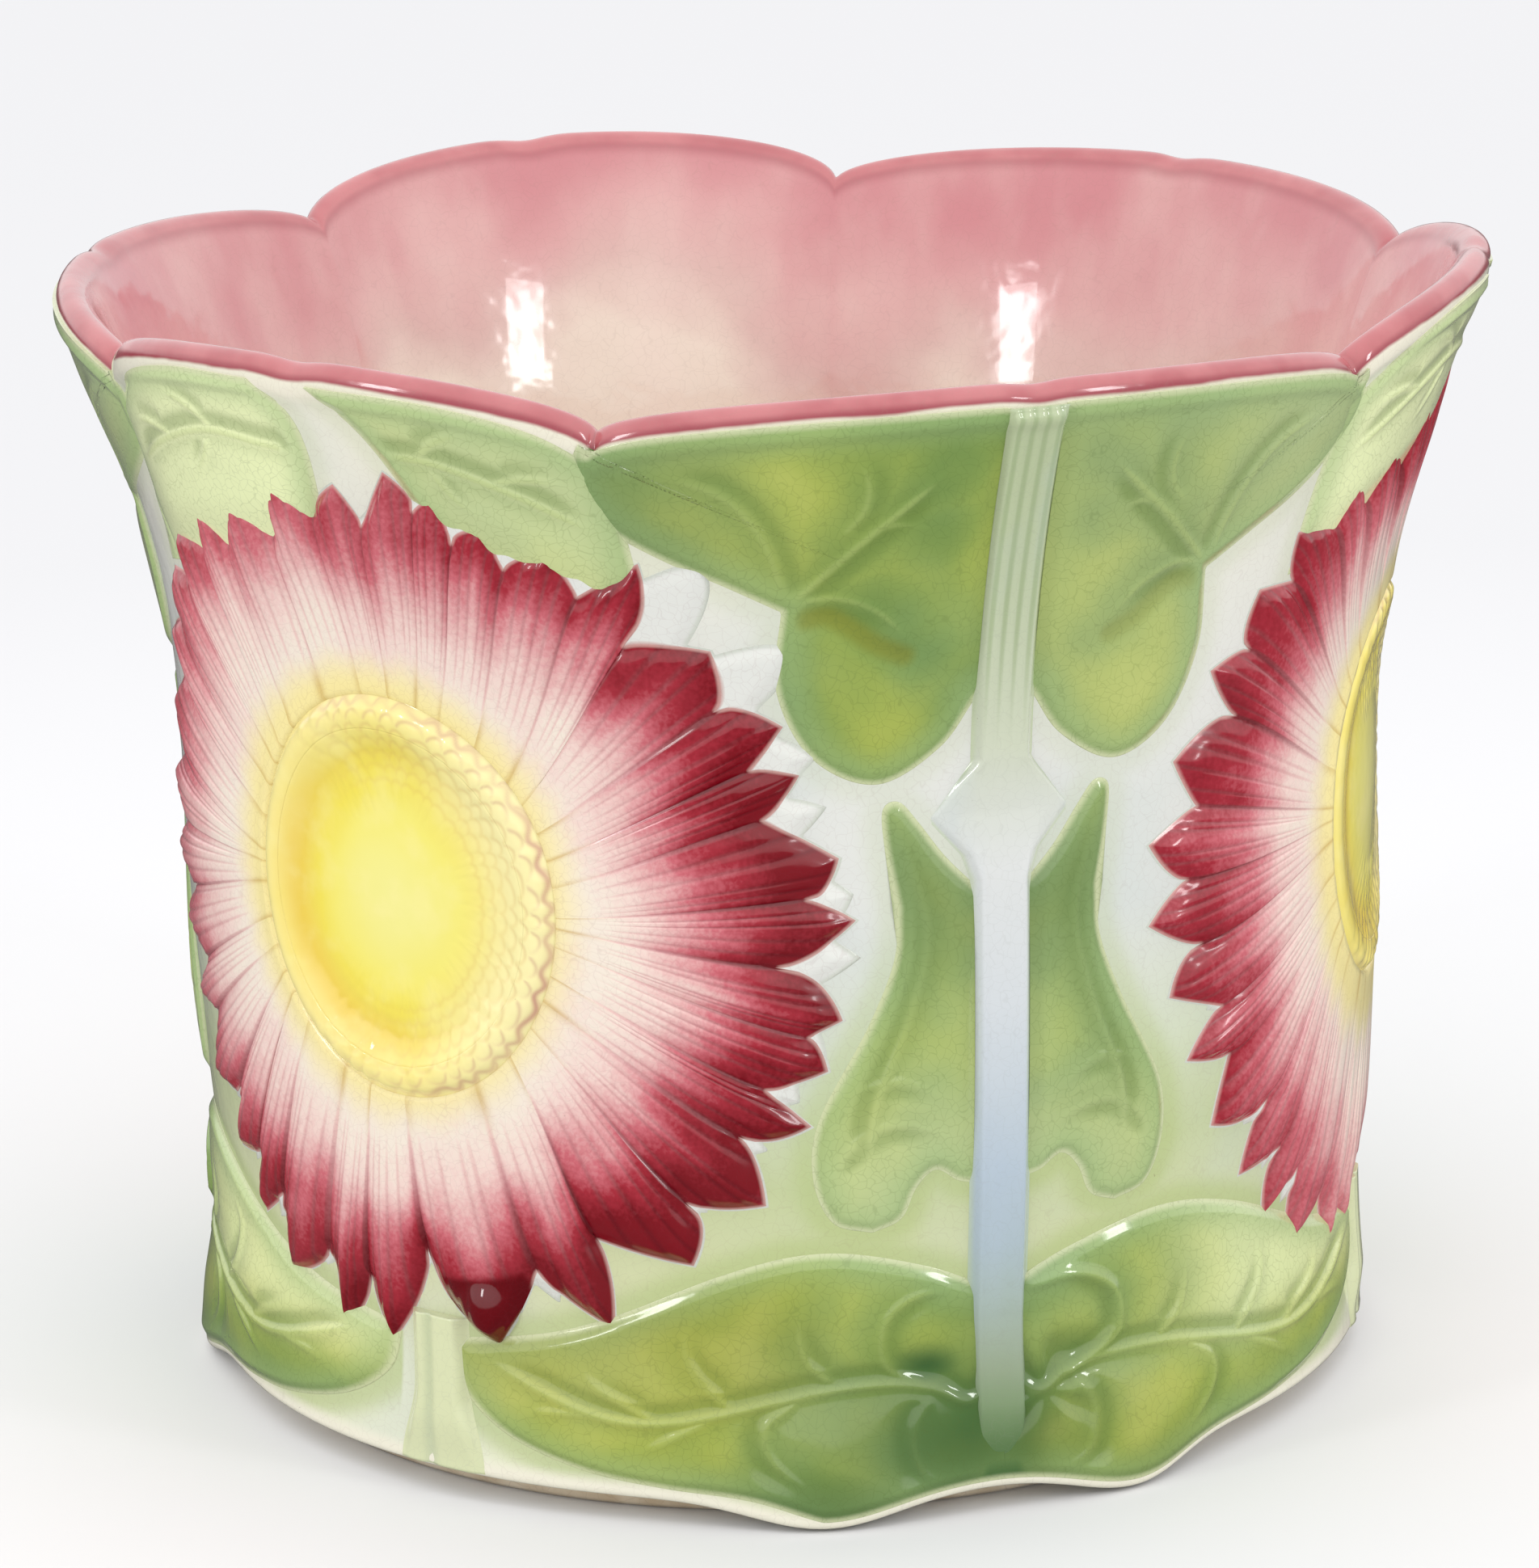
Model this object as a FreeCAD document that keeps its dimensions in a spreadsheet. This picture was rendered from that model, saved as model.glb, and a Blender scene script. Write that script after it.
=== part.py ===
"""A glazed cachepot with a scalloped rim, and flowers, stems and leaves in relief round its wall.

Millimetres, +Z up, the origin at the middle of the foot's underside.
Azimuth 0 is the -Y side and 90 the +X side.
"""

import FreeCAD, Part

import math
import os

import Sketcher

Vector = FreeCAD.Vector

SIZES = {
    # the wall's outer profile, from the floor up
    "base_radius": 97.0,
    "waist_radius": 94.5,
    "waist_height": 32.0,
    "belly_radius": 98.5,
    "belly_height": 110.0,
    "flare_radius": 120.6,
    "flare_height": 190.0,
    "foot_curve": 210.0,
    "belly_curve": 700.0,
    "flare_curve": 165.0,
    "wall_thickness": 6.0,
    # the rim's scallops
    "notch_height": 176.0,
    "flower_lobe_rise": 9.5,
    "stem_lobe_rise": 7.0,
    "lip_drop": 3.5,
    # the foot and the floor slab
    "skirt_height": 4.0,
    "foot_inset": 3.0,
    "floor_thickness": 7.0,
    # how far each ornament stands out from the wall
    "petal_relief": 3.0,
    "ring_relief": 5.0,
    "disc_relief": 3.5,
    "stalk_relief": 2.5,
    "stem_relief": 4.0,
    "leaf_relief": 3.0,
    # the flowers
    "flower_height": 99.0,
    "flower_radius": 71.0,
    "ring_radius": 34.0,
    "disc_radius": 28.0,
    "stalk_width": 12.0,
    # the stems, which end a bare band under the lip and over the skirt's edge
    "stem_width": 11.0,
    "node_width": 24.0,
    "node_length": 16.0,
    "lip_band": 3.0,
    "skirt_band": 2.0,
    # the leaves, three pairs one over another beside each stem, and a pair between each flower and the lip
    "upper_leaf_length": 58.0,
    "notch_margin": 1.5,
    "middle_leaf_width": 23.5,
    "bottom_leaf_margin": 2.4,
    "bottom_leaf_length": 44.5,
    "bottom_leaf_foot": 0.5,
    "leaf_spacing": 3.0,
    "crown_leaf_length": 34.0,
    "crown_left_inner": 3.0,
    "crown_right_inner": 6.0,
    # the bare joint between neighbouring ornaments, and how far a cutting tool runs past
    "joint_gap": 0.4,
    "overrun": 12.0,
}

# turns and counts
SEGMENTS = 3
SEGMENT_ANGLE = 360 / SEGMENTS
STEM_ANGLE = SEGMENT_ANGLE / 2
FLOWER_ANGLE = 3.0
STEM_LOBE_HALF_ANGLE = 33.5
FLOWER_LOBE_HALF_ANGLE = STEM_ANGLE - STEM_LOBE_HALF_ANGLE
PETALS = 36

# the rim's scallop: along half of a lobe from its notch, and up its rise
LOBE_SHARES = [(0.0, 0.0), (0.06, 0.34), (0.2, 0.62), (0.5, 0.9), (1.0, 1.0)]

# the petals' outline, as shares of the flower's radius and of one petal's angle
VALLEY_SHARE = 0.85
SHOULDER_SHARE = 0.95
SHOULDER_TURN_SHARE = 0.2
SHORT_TIP_SHARE = 0.06
LEAN_TURN_SHARE = 0.22
# how many radians the waves of unevenness and of lean go on from one petal to the next
SHORT_TIP_WAVE = 2.4
LEAN_WAVE = 1.7

# leaf outlines in runs that meet at corners, as shares of the leaf's width, outwards, and of its length
UPPER_LEAF_SHARES = [
    [(0.0, 0.22), (0.0, 0.98)],
    [(0.0, 0.98), (0.45, 0.99), (0.8, 0.96), (1.0, 0.9)],
    [(1.0, 0.9), (0.97, 0.8), (0.84, 0.67), (0.65, 0.57), (0.5, 0.49)],
    [(0.5, 0.49), (0.47, 0.25), (0.36, 0.07), (0.21, 0.0), (0.08, 0.08), (0.0, 0.22)],
]
MIDDLE_LEAF_SHARES = [
    [(0.0, 0.15), (0.0, 0.8)],
    [(0.0, 0.8), (0.25, 0.91), (0.5, 1.0)],
    [(0.5, 1.0), (0.46, 0.72), (0.7, 0.48), (1.0, 0.25), (0.95, 0.1), (0.68, 0.0), (0.35, 0.06), (0.0, 0.15)],
]
BOTTOM_LEAF_SHARES = [
    [(0.0, 0.2), (0.0, 0.8)],
    [(0.0, 0.8), (0.16, 0.93), (0.36, 1.0), (0.55, 0.92), (0.8, 0.69), (1.0, 0.58)],
    [(1.0, 0.58), (0.93, 0.3), (0.75, 0.17), (0.52, 0.13), (0.32, 0.01), (0.14, 0.04), (0.0, 0.2)],
]
CROWN_LEFT_SHARES = [
    [(1.0, 0.1), (1.0, 0.68)],
    [(1.0, 0.68), (0.8, 0.88), (0.5, 0.97), (0.14, 1.0)],
    [(0.14, 1.0), (0.03, 0.9), (0.0, 0.7), (0.04, 0.4)],
    [(0.04, 0.4), (1.0, 0.1)],
]
CROWN_RIGHT_SHARES = [
    [(1.0, 0.1), (1.0, 0.68)],
    [(1.0, 0.68), (0.8, 0.86), (0.45, 0.96), (0.0, 1.0)],
    [(0.0, 1.0), (0.18, 0.8), (0.4, 0.4)],
    [(0.4, 0.4), (1.0, 0.1)],
]

doc = FreeCAD.newDocument("cachepot")
sheet = doc.addObject("Spreadsheet::Sheet", "Sizes")
for row, (alias, value) in enumerate(SIZES.items(), start=1):
    sheet.set(f"A{row}", alias)
    sheet.set(f"B{row}", str(value))
    sheet.setAlias(f"B{row}", alias)
doc.recompute()

nodes = {}


def size(alias):
    return float(getattr(sheet, alias))


def cell(alias):
    return "Sizes." + alias


def turn(angle):
    return FreeCAD.Rotation(Vector(0, 0, 1), angle)


def facing(angle):
    """Stands a drawing upright on the axis, with its normal pointing out at this azimuth."""
    return FreeCAD.Placement(Vector(), turn(angle) * FreeCAD.Rotation(Vector(1, 0, 0), 90))


def node(thing, name):
    thing.Label = name
    nodes[name] = thing
    return thing


def boolean(kind, base, tool, name):
    result = doc.addObject("Part::" + kind, name)
    result.Base = base
    result.Tool = tool
    return result


# the wall's profile: each corner's radius and height, and the curve to the next with its centre's side
CORNERS = [
    ("base_radius", None),
    ("waist_radius", "waist_height"),
    ("belly_radius", "belly_height"),
    ("flare_radius", "flare_height"),
]
CURVES = [("foot_curve", 1), ("belly_curve", -1), ("flare_curve", 1)]


def arc_between(start, end, radius, side):
    """The short arc from start up to end, its centre on the outer side (1) or the inner side (-1)."""
    chord = end - start
    across = Vector(chord.y, -chord.x, 0).normalize()
    sagitta = radius - math.sqrt(radius**2 - (chord.Length / 2) ** 2)
    return Part.Arc(start, (start + end) / 2 - across * (side * sagitta), end)


def pin(sketch, geometry, end, x_formula, y_formula):
    """Holds one end of a line or arc at a place given by two formulas, where 0 means on that axis."""
    for kind, formula in (("DistanceX", x_formula), ("DistanceY", y_formula)):
        point = sketch.getPoint(geometry, end)
        if formula == "0":
            on_axis = -2 if kind == "DistanceX" else -1
            sketch.addConstraint(Sketcher.Constraint("PointOnObject", geometry, end, on_axis))
            continue
        value = point.x if kind == "DistanceX" else point.y
        index = sketch.addConstraint(Sketcher.Constraint(kind, -1, 1, geometry, end, value))
        sketch.setExpression(f"Constraints[{index}]", formula)


def add_curves(sketch, offset_alias, sign):
    """Draws the wall's outer curves, moved out or in by one size, and holds them by the sheet."""
    offset = sign * size(offset_alias) if offset_alias else 0.0
    shift = f" {'+' if sign > 0 else '-'} {cell(offset_alias)}" if offset_alias else ""
    points = [Vector(size(r) + offset, size(z) if z else 0.0, 0) for r, z in CORNERS]
    formulas = [(cell(r) + shift, cell(z) if z else "0") for r, z in CORNERS]
    for index, (curve, side) in enumerate(CURVES):
        start, end = points[index], points[index + 1]
        arc = sketch.addGeometry(arc_between(start, end, size(curve), side), False)
        to_start = [sketch.getPoint(arc, end_number).distanceToPoint(start) for end_number in (1, 2)]
        first = 1 if to_start[0] < to_start[1] else 2
        pin(sketch, arc, first, *formulas[index])
        pin(sketch, arc, 3 - first, *formulas[index + 1])
        held = sketch.addConstraint(Sketcher.Constraint("Radius", arc, size(curve)))
        sketch.setExpression(f"Constraints[{held}]", cell(curve))
    return points, formulas


def add_line(sketch, start, end, start_formulas, end_formulas):
    line = sketch.addGeometry(Part.LineSegment(start, end), False)
    pin(sketch, line, 1, *start_formulas)
    pin(sketch, line, 2, *end_formulas)


def turned_shell(name, inner, outer):
    """A shell of the wall's form between two offsets, each a size's name and a sign. None is the axis."""
    sketch = doc.addObject("Sketcher::SketchObject", name + "_profile")
    sketch.Placement = facing(STEM_ANGLE)
    outer_points, outer_formulas = add_curves(sketch, *outer)
    if inner:
        inner_points, inner_formulas = add_curves(sketch, *inner)
    else:
        inner_points = [Vector(0, p.y, 0) for p in outer_points]
        inner_formulas = [("0", z) for _, z in outer_formulas]
        add_line(sketch, inner_points[0], inner_points[-1], inner_formulas[0], inner_formulas[-1])
    for end in (0, -1):
        add_line(sketch, inner_points[end], outer_points[end], inner_formulas[end], outer_formulas[end])
    shell = doc.addObject("Part::Revolution", name)
    shell.Source = sketch
    shell.Axis = Vector(0, 0, 1)
    shell.Solid = True
    return shell


def curve_through(points):
    """A straight edge through two points, or one smooth curve through more."""
    if len(points) == 2:
        return Part.LineSegment(*points).toShape()
    curve = Part.BSplineCurve()
    curve.interpolate(points)
    return curve.toShape()


def prism(name, edges, angle):
    """Pushes a flat outline out from the axis at this azimuth, past the rim."""
    outline = doc.addObject("Part::Feature", name + "_outline")
    outline.Shape = Part.Face(Part.Wire(edges))
    outline.Placement = facing(angle)
    solid = doc.addObject("Part::Extrusion", name + "_prism")
    solid.Base = outline
    solid.DirMode = "Custom"
    solid.Dir = facing(angle).multVec(Vector(0, 0, 1))
    solid.Solid = True
    solid.setExpression("LengthFwd", cell("flare_radius") + " + " + cell("overrun"))
    return solid


def drum(name, radius_formula, angle):
    """A round bar that points out at this azimuth at the flowers' height."""
    bar = doc.addObject("Part::Cylinder", name)
    bar.setExpression("Radius", radius_formula)
    bar.setExpression("Height", cell("flare_radius") + " + " + cell("overrun"))
    bar.Placement = FreeCAD.Placement(Vector(0, 0, size("flower_height")), facing(angle).Rotation)
    bar.setExpression("Placement.Base.z", cell("flower_height"))
    return bar


# the wall, cut to its scallops above and to its skirt below
def outer_radius(height):
    """The wall's outer radius at a height between the belly and the top of the flare."""
    ends = [Vector(size(r), size(z), 0) for r, z in CORNERS[-2:]]
    curve, side = CURVES[-1]
    centre = arc_between(*ends, size(curve), side).toShape().Curve.Center
    return centre.x - math.sqrt(size(curve) ** 2 - (height - centre.y) ** 2)


def scallop_edges(distance, half_angle, rise_alias):
    """The outline cut away above one lobe, at this distance from the axis: the lip slopes down outwards."""
    slope = size("lip_drop") / size("wall_thickness")
    half_width = distance * math.tan(math.radians(half_angle))
    past = half_width + size("joint_gap") * distance / size("flare_radius")
    top = size("flare_height") + size("flare_radius")

    def lip_point(across, up):
        height = size("notch_height") + size(rise_alias) * up
        middle = outer_radius(height) - size("wall_thickness") / 2
        return Vector(across, height + (middle - math.hypot(distance, across)) * slope, 0)

    left = [lip_point(half_width * (out - 1), up) for out, up in LOBE_SHARES]
    dome = left + [Vector(-point.x, point.y, 0) for point in reversed(left[:-1])]
    corners = [dome[-1], lip_point(past, 0), Vector(past, top, 0)]
    corners += [Vector(-past, top, 0), lip_point(-past, 0), dome[0]]
    return [curve_through(dome)] + [curve_through(pair) for pair in zip(corners, corners[1:])]


def scallop(name, half_angle, rise_alias, angle):
    """What is cut away above one lobe of the rim: a wedge that widens outwards from the axis."""
    inside = size("waist_radius") - size("wall_thickness")
    sections = []
    for index, distance in enumerate((inside / 2, size("flare_radius") + size("overrun")), start=1):
        outline = doc.addObject("Part::Feature", f"{name}_outline_{index}")
        outline.Shape = Part.Wire(scallop_edges(distance, half_angle, rise_alias))
        place = facing(angle)
        place.Base = place.multVec(Vector(0, 0, distance))
        outline.Placement = place
        sections.append(outline)
    wedge = doc.addObject("Part::Loft", name)
    wedge.Sections = sections
    wedge.Solid = True
    wedge.Ruled = True
    return wedge


def make_wall():
    wall = turned_shell("wall_blank", ("wall_thickness", -1), (None, 1))
    for index in range(SEGMENTS):
        angle = index * SEGMENT_ANGLE
        lobes = (
            ("flower", FLOWER_LOBE_HALF_ANGLE, "flower_lobe_rise", angle),
            ("stem", STEM_LOBE_HALF_ANGLE, "stem_lobe_rise", angle + STEM_ANGLE),
        )
        for kind, half_angle, rise_alias, lobe_angle in lobes:
            cutter = scallop(f"{kind}_scallop_{index + 1}", half_angle, rise_alias, lobe_angle)
            wall = boolean("Cut", wall, cutter, f"{kind}_lobe_{index + 1}")
    under = doc.addObject("Part::Cylinder", "under_skirt")
    under.setExpression("Radius", cell("flare_radius"))
    under.setExpression("Height", cell("skirt_height"))
    return node(boolean("Cut", wall, under, "wall"), "wall")


def make_base():
    """The low foot under the skirt, and on it the floor slab that fills the wall's lower end."""
    core = turned_shell("hollow_core", None, ("wall_thickness", -1))
    slab = doc.addObject("Part::Cylinder", "slab_height")
    slab.setExpression("Radius", cell("base_radius"))
    slab.setExpression("Height", cell("floor_thickness"))
    slab.setExpression("Placement.Base.z", cell("skirt_height"))
    floor = boolean("Common", core, slab, "floor_slab")
    foot = doc.addObject("Part::Cylinder", "foot_disc")
    foot.setExpression("Radius", cell("base_radius") + " - " + cell("foot_inset"))
    foot.setExpression("Height", cell("skirt_height"))
    return node(boolean("Fuse", foot, floor, "base"), "base")


def rosette_edges():
    """The petals' outline: tips of uneven length that lean a little, with a valley between neighbours."""
    radius, height = size("flower_radius"), size("flower_height")
    step = 2 * math.pi / PETALS

    def at(share, angle):
        return Vector(radius * share * math.cos(angle), height + radius * share * math.sin(angle), 0)

    edges = []
    for index in range(PETALS):
        start = index * step
        tip_share = 1 - SHORT_TIP_SHARE * (1 + math.sin(index * SHORT_TIP_WAVE)) / 2
        tip_turn = 1 / 2 + LEAN_TURN_SHARE * math.sin(index * LEAN_WAVE)
        tip = at(tip_share, start + tip_turn * step)
        left = at(SHOULDER_SHARE * tip_share, start + (tip_turn - SHOULDER_TURN_SHARE) * step)
        right = at(SHOULDER_SHARE * tip_share, start + (tip_turn + SHOULDER_TURN_SHARE) * step)
        edges.append(Part.Arc(at(VALLEY_SHARE, start), left, tip).toShape())
        edges.append(Part.Arc(tip, right, at(VALLEY_SHARE, start + step)).toShape())
    return edges


def band_edges(left, right, low, high):
    corners = [Vector(left, low, 0), Vector(right, low, 0), Vector(right, high, 0), Vector(left, high, 0)]
    return [curve_through([corners[i - 1], corners[i]]) for i in range(len(corners))]


def leaf_span(kind):
    """The lowest and highest point of a leaf: the bottom pair stands near the floor, the upper and the crown
    pairs hang from the lip, and the middle pair fills what is left between the bottom and upper ones."""
    under_lip = size("notch_height") - size("lip_drop") / 2 - size("lip_band")
    upper_top = under_lip + size("stem_lobe_rise")
    upper_foot = upper_top - size("upper_leaf_length")
    crown_top = under_lip + size("flower_lobe_rise")
    bottom_top = size("bottom_leaf_foot") + size("bottom_leaf_length")
    spans = {
        "crown": (crown_top - size("crown_leaf_length"), crown_top),
        "upper": (upper_foot, upper_top),
        "middle": (bottom_top + size("leaf_spacing"), upper_foot - size("leaf_spacing")),
        "bottom": (size("bottom_leaf_foot"), bottom_top),
    }
    return spans[kind]


def stem_edges():
    """A straight stem whose node, at the top of the middle leaves, swells to a point on each side."""
    half, node_half = size("stem_width") / 2, size("node_width") / 2
    middle, reach = leaf_span("middle")[1] - size("leaf_spacing"), size("node_length") / 2
    side = [
        Vector(half, size("skirt_height") + size("skirt_band"), 0),
        Vector(half, middle - reach, 0),
        Vector(node_half, middle, 0),
        Vector(half, middle + reach, 0),
        Vector(half, leaf_span("upper")[1], 0),
    ]
    ring = side + [Vector(-point.x, point.y, 0) for point in reversed(side)]
    return [curve_through([ring[i - 1], ring[i]]) for i in range(len(ring))]


def leaf_reach(kind, side):
    """How far a leaf spreads from the middle of its pair: the upper and crown leaves end by the rim's notch,
    and the bottom ones fill the room up to the next flower's stalk."""
    if kind == "middle":
        return size("stem_width") / 2 + size("joint_gap") + size("middle_leaf_width")
    if kind == "bottom":
        apart = math.radians(STEM_ANGLE + side * FLOWER_ANGLE)
        return size("waist_radius") * math.sin(apart) - size("bottom_leaf_margin")
    half_angle = STEM_LOBE_HALF_ANGLE if kind == "upper" else FLOWER_LOBE_HALF_ANGLE - side * FLOWER_ANGLE
    return outer_radius(size("notch_height")) * math.sin(math.radians(half_angle)) - size("notch_margin")


def leaf_edges(shares, kind, side, inner):
    """One leaf of a pair, on the right (1) or the left (-1), from this distance from the pair's middle."""
    width = leaf_reach(kind, side) - inner
    foot, top = leaf_span(kind)
    edges = []
    for run in shares:
        points = [Vector(side * (inner + width * out), foot + (top - foot) * up, 0) for out, up in run]
        edges.append(curve_through(points))
    return edges


def stalk_prism(name, margin, low, angle):
    half = size("stalk_width") / 2 + margin
    return prism(name, band_edges(-half, half, low, size("flower_height")), angle)


def flower_room(angle):
    """The place that a flower takes up on the wall, with the joint round it."""
    return drum(f"flower_room_{round(angle)}", cell("flower_radius") + " + " + cell("joint_gap"), angle)


def make_flower(shells):
    """The first flower's petals, ring, disc and stalk, and the pair of crown leaves over it."""
    rays = prism("rosette", rosette_edges(), FLOWER_ANGLE)
    petals = boolean("Common", rays, shells["petal"], "rosette_relief")
    middle = drum("ring_drum", cell("ring_radius"), FLOWER_ANGLE)
    eye = drum("disc_drum", cell("disc_radius"), FLOWER_ANGLE)
    ring = boolean("Common", middle, shells["ring"], "ring_band")
    stalk_bar = stalk_prism("stalk", 0, size("skirt_height") + size("skirt_band"), FLOWER_ANGLE)
    stalk = boolean("Common", stalk_bar, shells["stalk"], "stalk_band")
    room = flower_room(FLOWER_ANGLE)
    made = {
        "flower_petals": boolean("Cut", petals, middle, "flower_petals"),
        "flower_ring": boolean("Cut", ring, eye, "flower_ring"),
        "flower_disc": boolean("Common", eye, shells["disc"], "flower_disc"),
        "flower_stalk": boolean("Cut", stalk, room, "flower_stalk"),
    }
    for side, word, shares in ((-1, "left", CROWN_LEFT_SHARES), (1, "right", CROWN_RIGHT_SHARES)):
        name = f"crown_leaf_{word}"
        edges = leaf_edges(shares, "crown", side, size(f"crown_{word}_inner"))
        relief = boolean("Common", prism(name, edges, FLOWER_ANGLE), shells["leaf"], name + "_relief")
        made[name] = boolean("Cut", relief, room, name)
    return made


def make_stem(shells):
    """The first stem and its three pairs of leaves, kept clear of the stem's node and of both flowers."""
    bar = prism("stem", stem_edges(), STEM_ANGLE)
    made = {"stem": boolean("Common", bar, shells["stem"], "stem")}
    rooms = {}
    for side, angle in ((-1, FLOWER_ANGLE), (1, FLOWER_ANGLE + SEGMENT_ANGLE)):
        stalk = stalk_prism(f"stalk_room_{round(angle)}", size("joint_gap"), 0, angle)
        rooms[side] = boolean("Fuse", flower_room(angle), stalk, f"room_{round(angle)}")
    leaves = {"upper": UPPER_LEAF_SHARES, "middle": MIDDLE_LEAF_SHARES, "bottom": BOTTOM_LEAF_SHARES}
    inner = size("stem_width") / 2 + size("joint_gap")
    for kind, shares in leaves.items():
        for side, word in ((-1, "left"), (1, "right")):
            name = f"{kind}_leaf_{word}"
            blade = prism(name, leaf_edges(shares, kind, side, inner), STEM_ANGLE)
            relief = boolean("Common", blade, shells["leaf"], name + "_relief")
            clear = boolean("Cut", relief, rooms[side], name + "_clear")
            made[name] = boolean("Cut", clear, bar, name)
    return made


def make_ornaments():
    """The first segment's ornaments, and their copies turned round to the other segments."""
    kinds = ("petal", "ring", "disc", "stalk", "stem", "leaf")
    shells = {kind: turned_shell(f"{kind}_shell", (None, 1), (f"{kind}_relief", 1)) for kind in kinds}
    for name, first in {**make_flower(shells), **make_stem(shells)}.items():
        node(first, f"{name}_1")
        for index in range(1, SEGMENTS):
            copy = doc.addObject("App::Link", f"{name}_{index + 1}")
            copy.LinkedObject = first
            copy.Placement = FreeCAD.Placement(Vector(), turn(index * SEGMENT_ANGLE))
            node(copy, f"{name}_{index + 1}")


make_wall()
make_base()
make_ornaments()
doc.recompute()

faults = [thing.Name for thing in doc.Objects if {"Invalid", "Error"} & set(thing.State)]
for name, thing in nodes.items():
    shape = thing.Shape
    if shape.isNull() or not shape.isValid() or not shape.Solids:
        faults.append(name)
if faults:
    raise SystemExit("these objects failed: " + ", ".join(faults))

os.makedirs("parts", exist_ok=True)
for name, thing in nodes.items():
    thing.Shape.exportStep(f"parts/{name}.step")
    print(name, len(thing.Shape.Solids), "solids", round(thing.Shape.Volume / 1000, 2), "cm3")
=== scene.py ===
"""The looks of a glazed cachepot: its wall and base, three flowers, and the stems and leaves between them.

The scene is in metres. Sizes here are in millimetres and are scaled once, when a mesh is made.
Azimuth 0 is the -Y side and 90 the +X side.
"""

import math
from types import SimpleNamespace

import bpy
import numpy as np
from mathutils import Matrix, Vector


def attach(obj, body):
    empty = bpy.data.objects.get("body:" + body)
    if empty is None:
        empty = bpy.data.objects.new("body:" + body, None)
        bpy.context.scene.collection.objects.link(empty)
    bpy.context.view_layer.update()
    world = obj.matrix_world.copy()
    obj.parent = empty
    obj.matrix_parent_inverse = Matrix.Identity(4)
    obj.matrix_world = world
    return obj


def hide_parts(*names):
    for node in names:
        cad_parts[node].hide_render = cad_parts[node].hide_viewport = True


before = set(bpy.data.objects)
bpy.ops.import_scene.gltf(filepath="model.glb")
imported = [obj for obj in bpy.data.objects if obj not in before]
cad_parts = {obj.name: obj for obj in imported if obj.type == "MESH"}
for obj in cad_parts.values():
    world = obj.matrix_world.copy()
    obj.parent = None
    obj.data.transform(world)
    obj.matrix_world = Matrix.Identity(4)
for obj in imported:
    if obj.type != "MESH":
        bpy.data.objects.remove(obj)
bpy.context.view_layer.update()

MM = 0.001
SEGMENTS = 3
SEGMENT_ANGLE = 360 / SEGMENTS
STEM_ANGLE = SEGMENT_ANGLE / 2
FLOWER_ANGLE = 3.0

# the wall's outer profile: radius and height of each corner, and the curve to the next with its centre's side
CORNERS = [(97.0, 0.0), (94.5, 32.0), (98.5, 110.0), (120.6, 190.0)]
CURVES = [(210.0, 1), (700.0, -1), (165.0, 1)]
WALL_THICKNESS = 6.0
NOTCH_HEIGHT = 176.0
STEM_LOBE_HALF_ANGLE = 33.5
FLOWER_LOBE_HALF_ANGLE = STEM_ANGLE - STEM_LOBE_HALF_ANGLE
STEM_LOBE_RISE = 7.0
FLOWER_LOBE_RISE = 9.5
# the rounded lip: its ends below its middle, their lean, and its rise
LIP_LOW, LIP_LEAN, LIP_UP = 3.2, 1.3, 3.6
LIP_BEAD = 0.5
# the shallow dips in the middle of the lobes: azimuth, depth and half-width
LIP_DIPS = [(2.0, 0.7, 2.2), (STEM_ANGLE, 0.6, 2.0)]
# the lobes of the foot: azimuth from the stem and half-width
FOOT_LOBES = [(-17.0, 9.0), (13.5, 8.0)]
FOOT_FLARE = 2.2
RIM_SWELL = 1.5
# the wall's lower edge: its height between the lobes, how far it comes down at them, and its rounding
EDGE_LIFT, EDGE_WAVE, EDGE_ROUND = 4.3, 3.8, 1.4
SKIRT_HEIGHT = 4.0
FOOT_RADIUS = 94.0
FLOOR_TOP = 11.0

# how deep the back of an ornament lies in the wall, and the rings of its back where it ends in a point
SEAT_DEPTH = 0.8
BACK_RINGS = 5
# places closer than this are one place
SAME_PLACE = 1e-6


def smooth(value, low, high):
    """0 up to low, 1 from high on, and a smooth rise between them."""
    share = np.clip((value - low) / (high - low), 0, 1)
    return share * share * (3 - 2 * share)


def hump(value, middle, spread):
    return np.exp(-(((value - middle) / spread) ** 2))


def cosine(turn):
    return np.cos(np.radians(turn))


def sine(turn):
    return np.sin(np.radians(turn))


def nearest_turn(angle, first):
    """How far an azimuth lies from the nearest of the azimuths first, first + 120 and first + 240."""
    return (np.asarray(angle) - first + SEGMENT_ANGLE / 2) % SEGMENT_ANGLE - SEGMENT_ANGLE / 2


def arc_radius(height, start, end, radius, side):
    """The profile's radius at a height on one of its arcs."""
    (r0, z0), (r1, z1) = start, end
    chord = math.hypot(r1 - r0, z1 - z0)
    back = math.sqrt(radius**2 - chord**2 / 4)
    centre_r = (r0 + r1) / 2 + side * back * (z1 - z0) / chord
    centre_z = (z0 + z1) / 2 - side * back * (r1 - r0) / chord
    return centre_r - side * np.sqrt(radius**2 - (height - centre_z) ** 2)


def wall_radius(height):
    height = np.clip(height, CORNERS[0][1], CORNERS[-1][1])
    radius = arc_radius(height, CORNERS[0], CORNERS[1], *CURVES[0])
    for start, end, curve in zip(CORNERS[1:], CORNERS[2:], CURVES[1:]):
        higher = arc_radius(np.maximum(height, start[1]), start, end, *curve)
        radius = np.where(height > start[1], higher, radius)
    return radius


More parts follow.
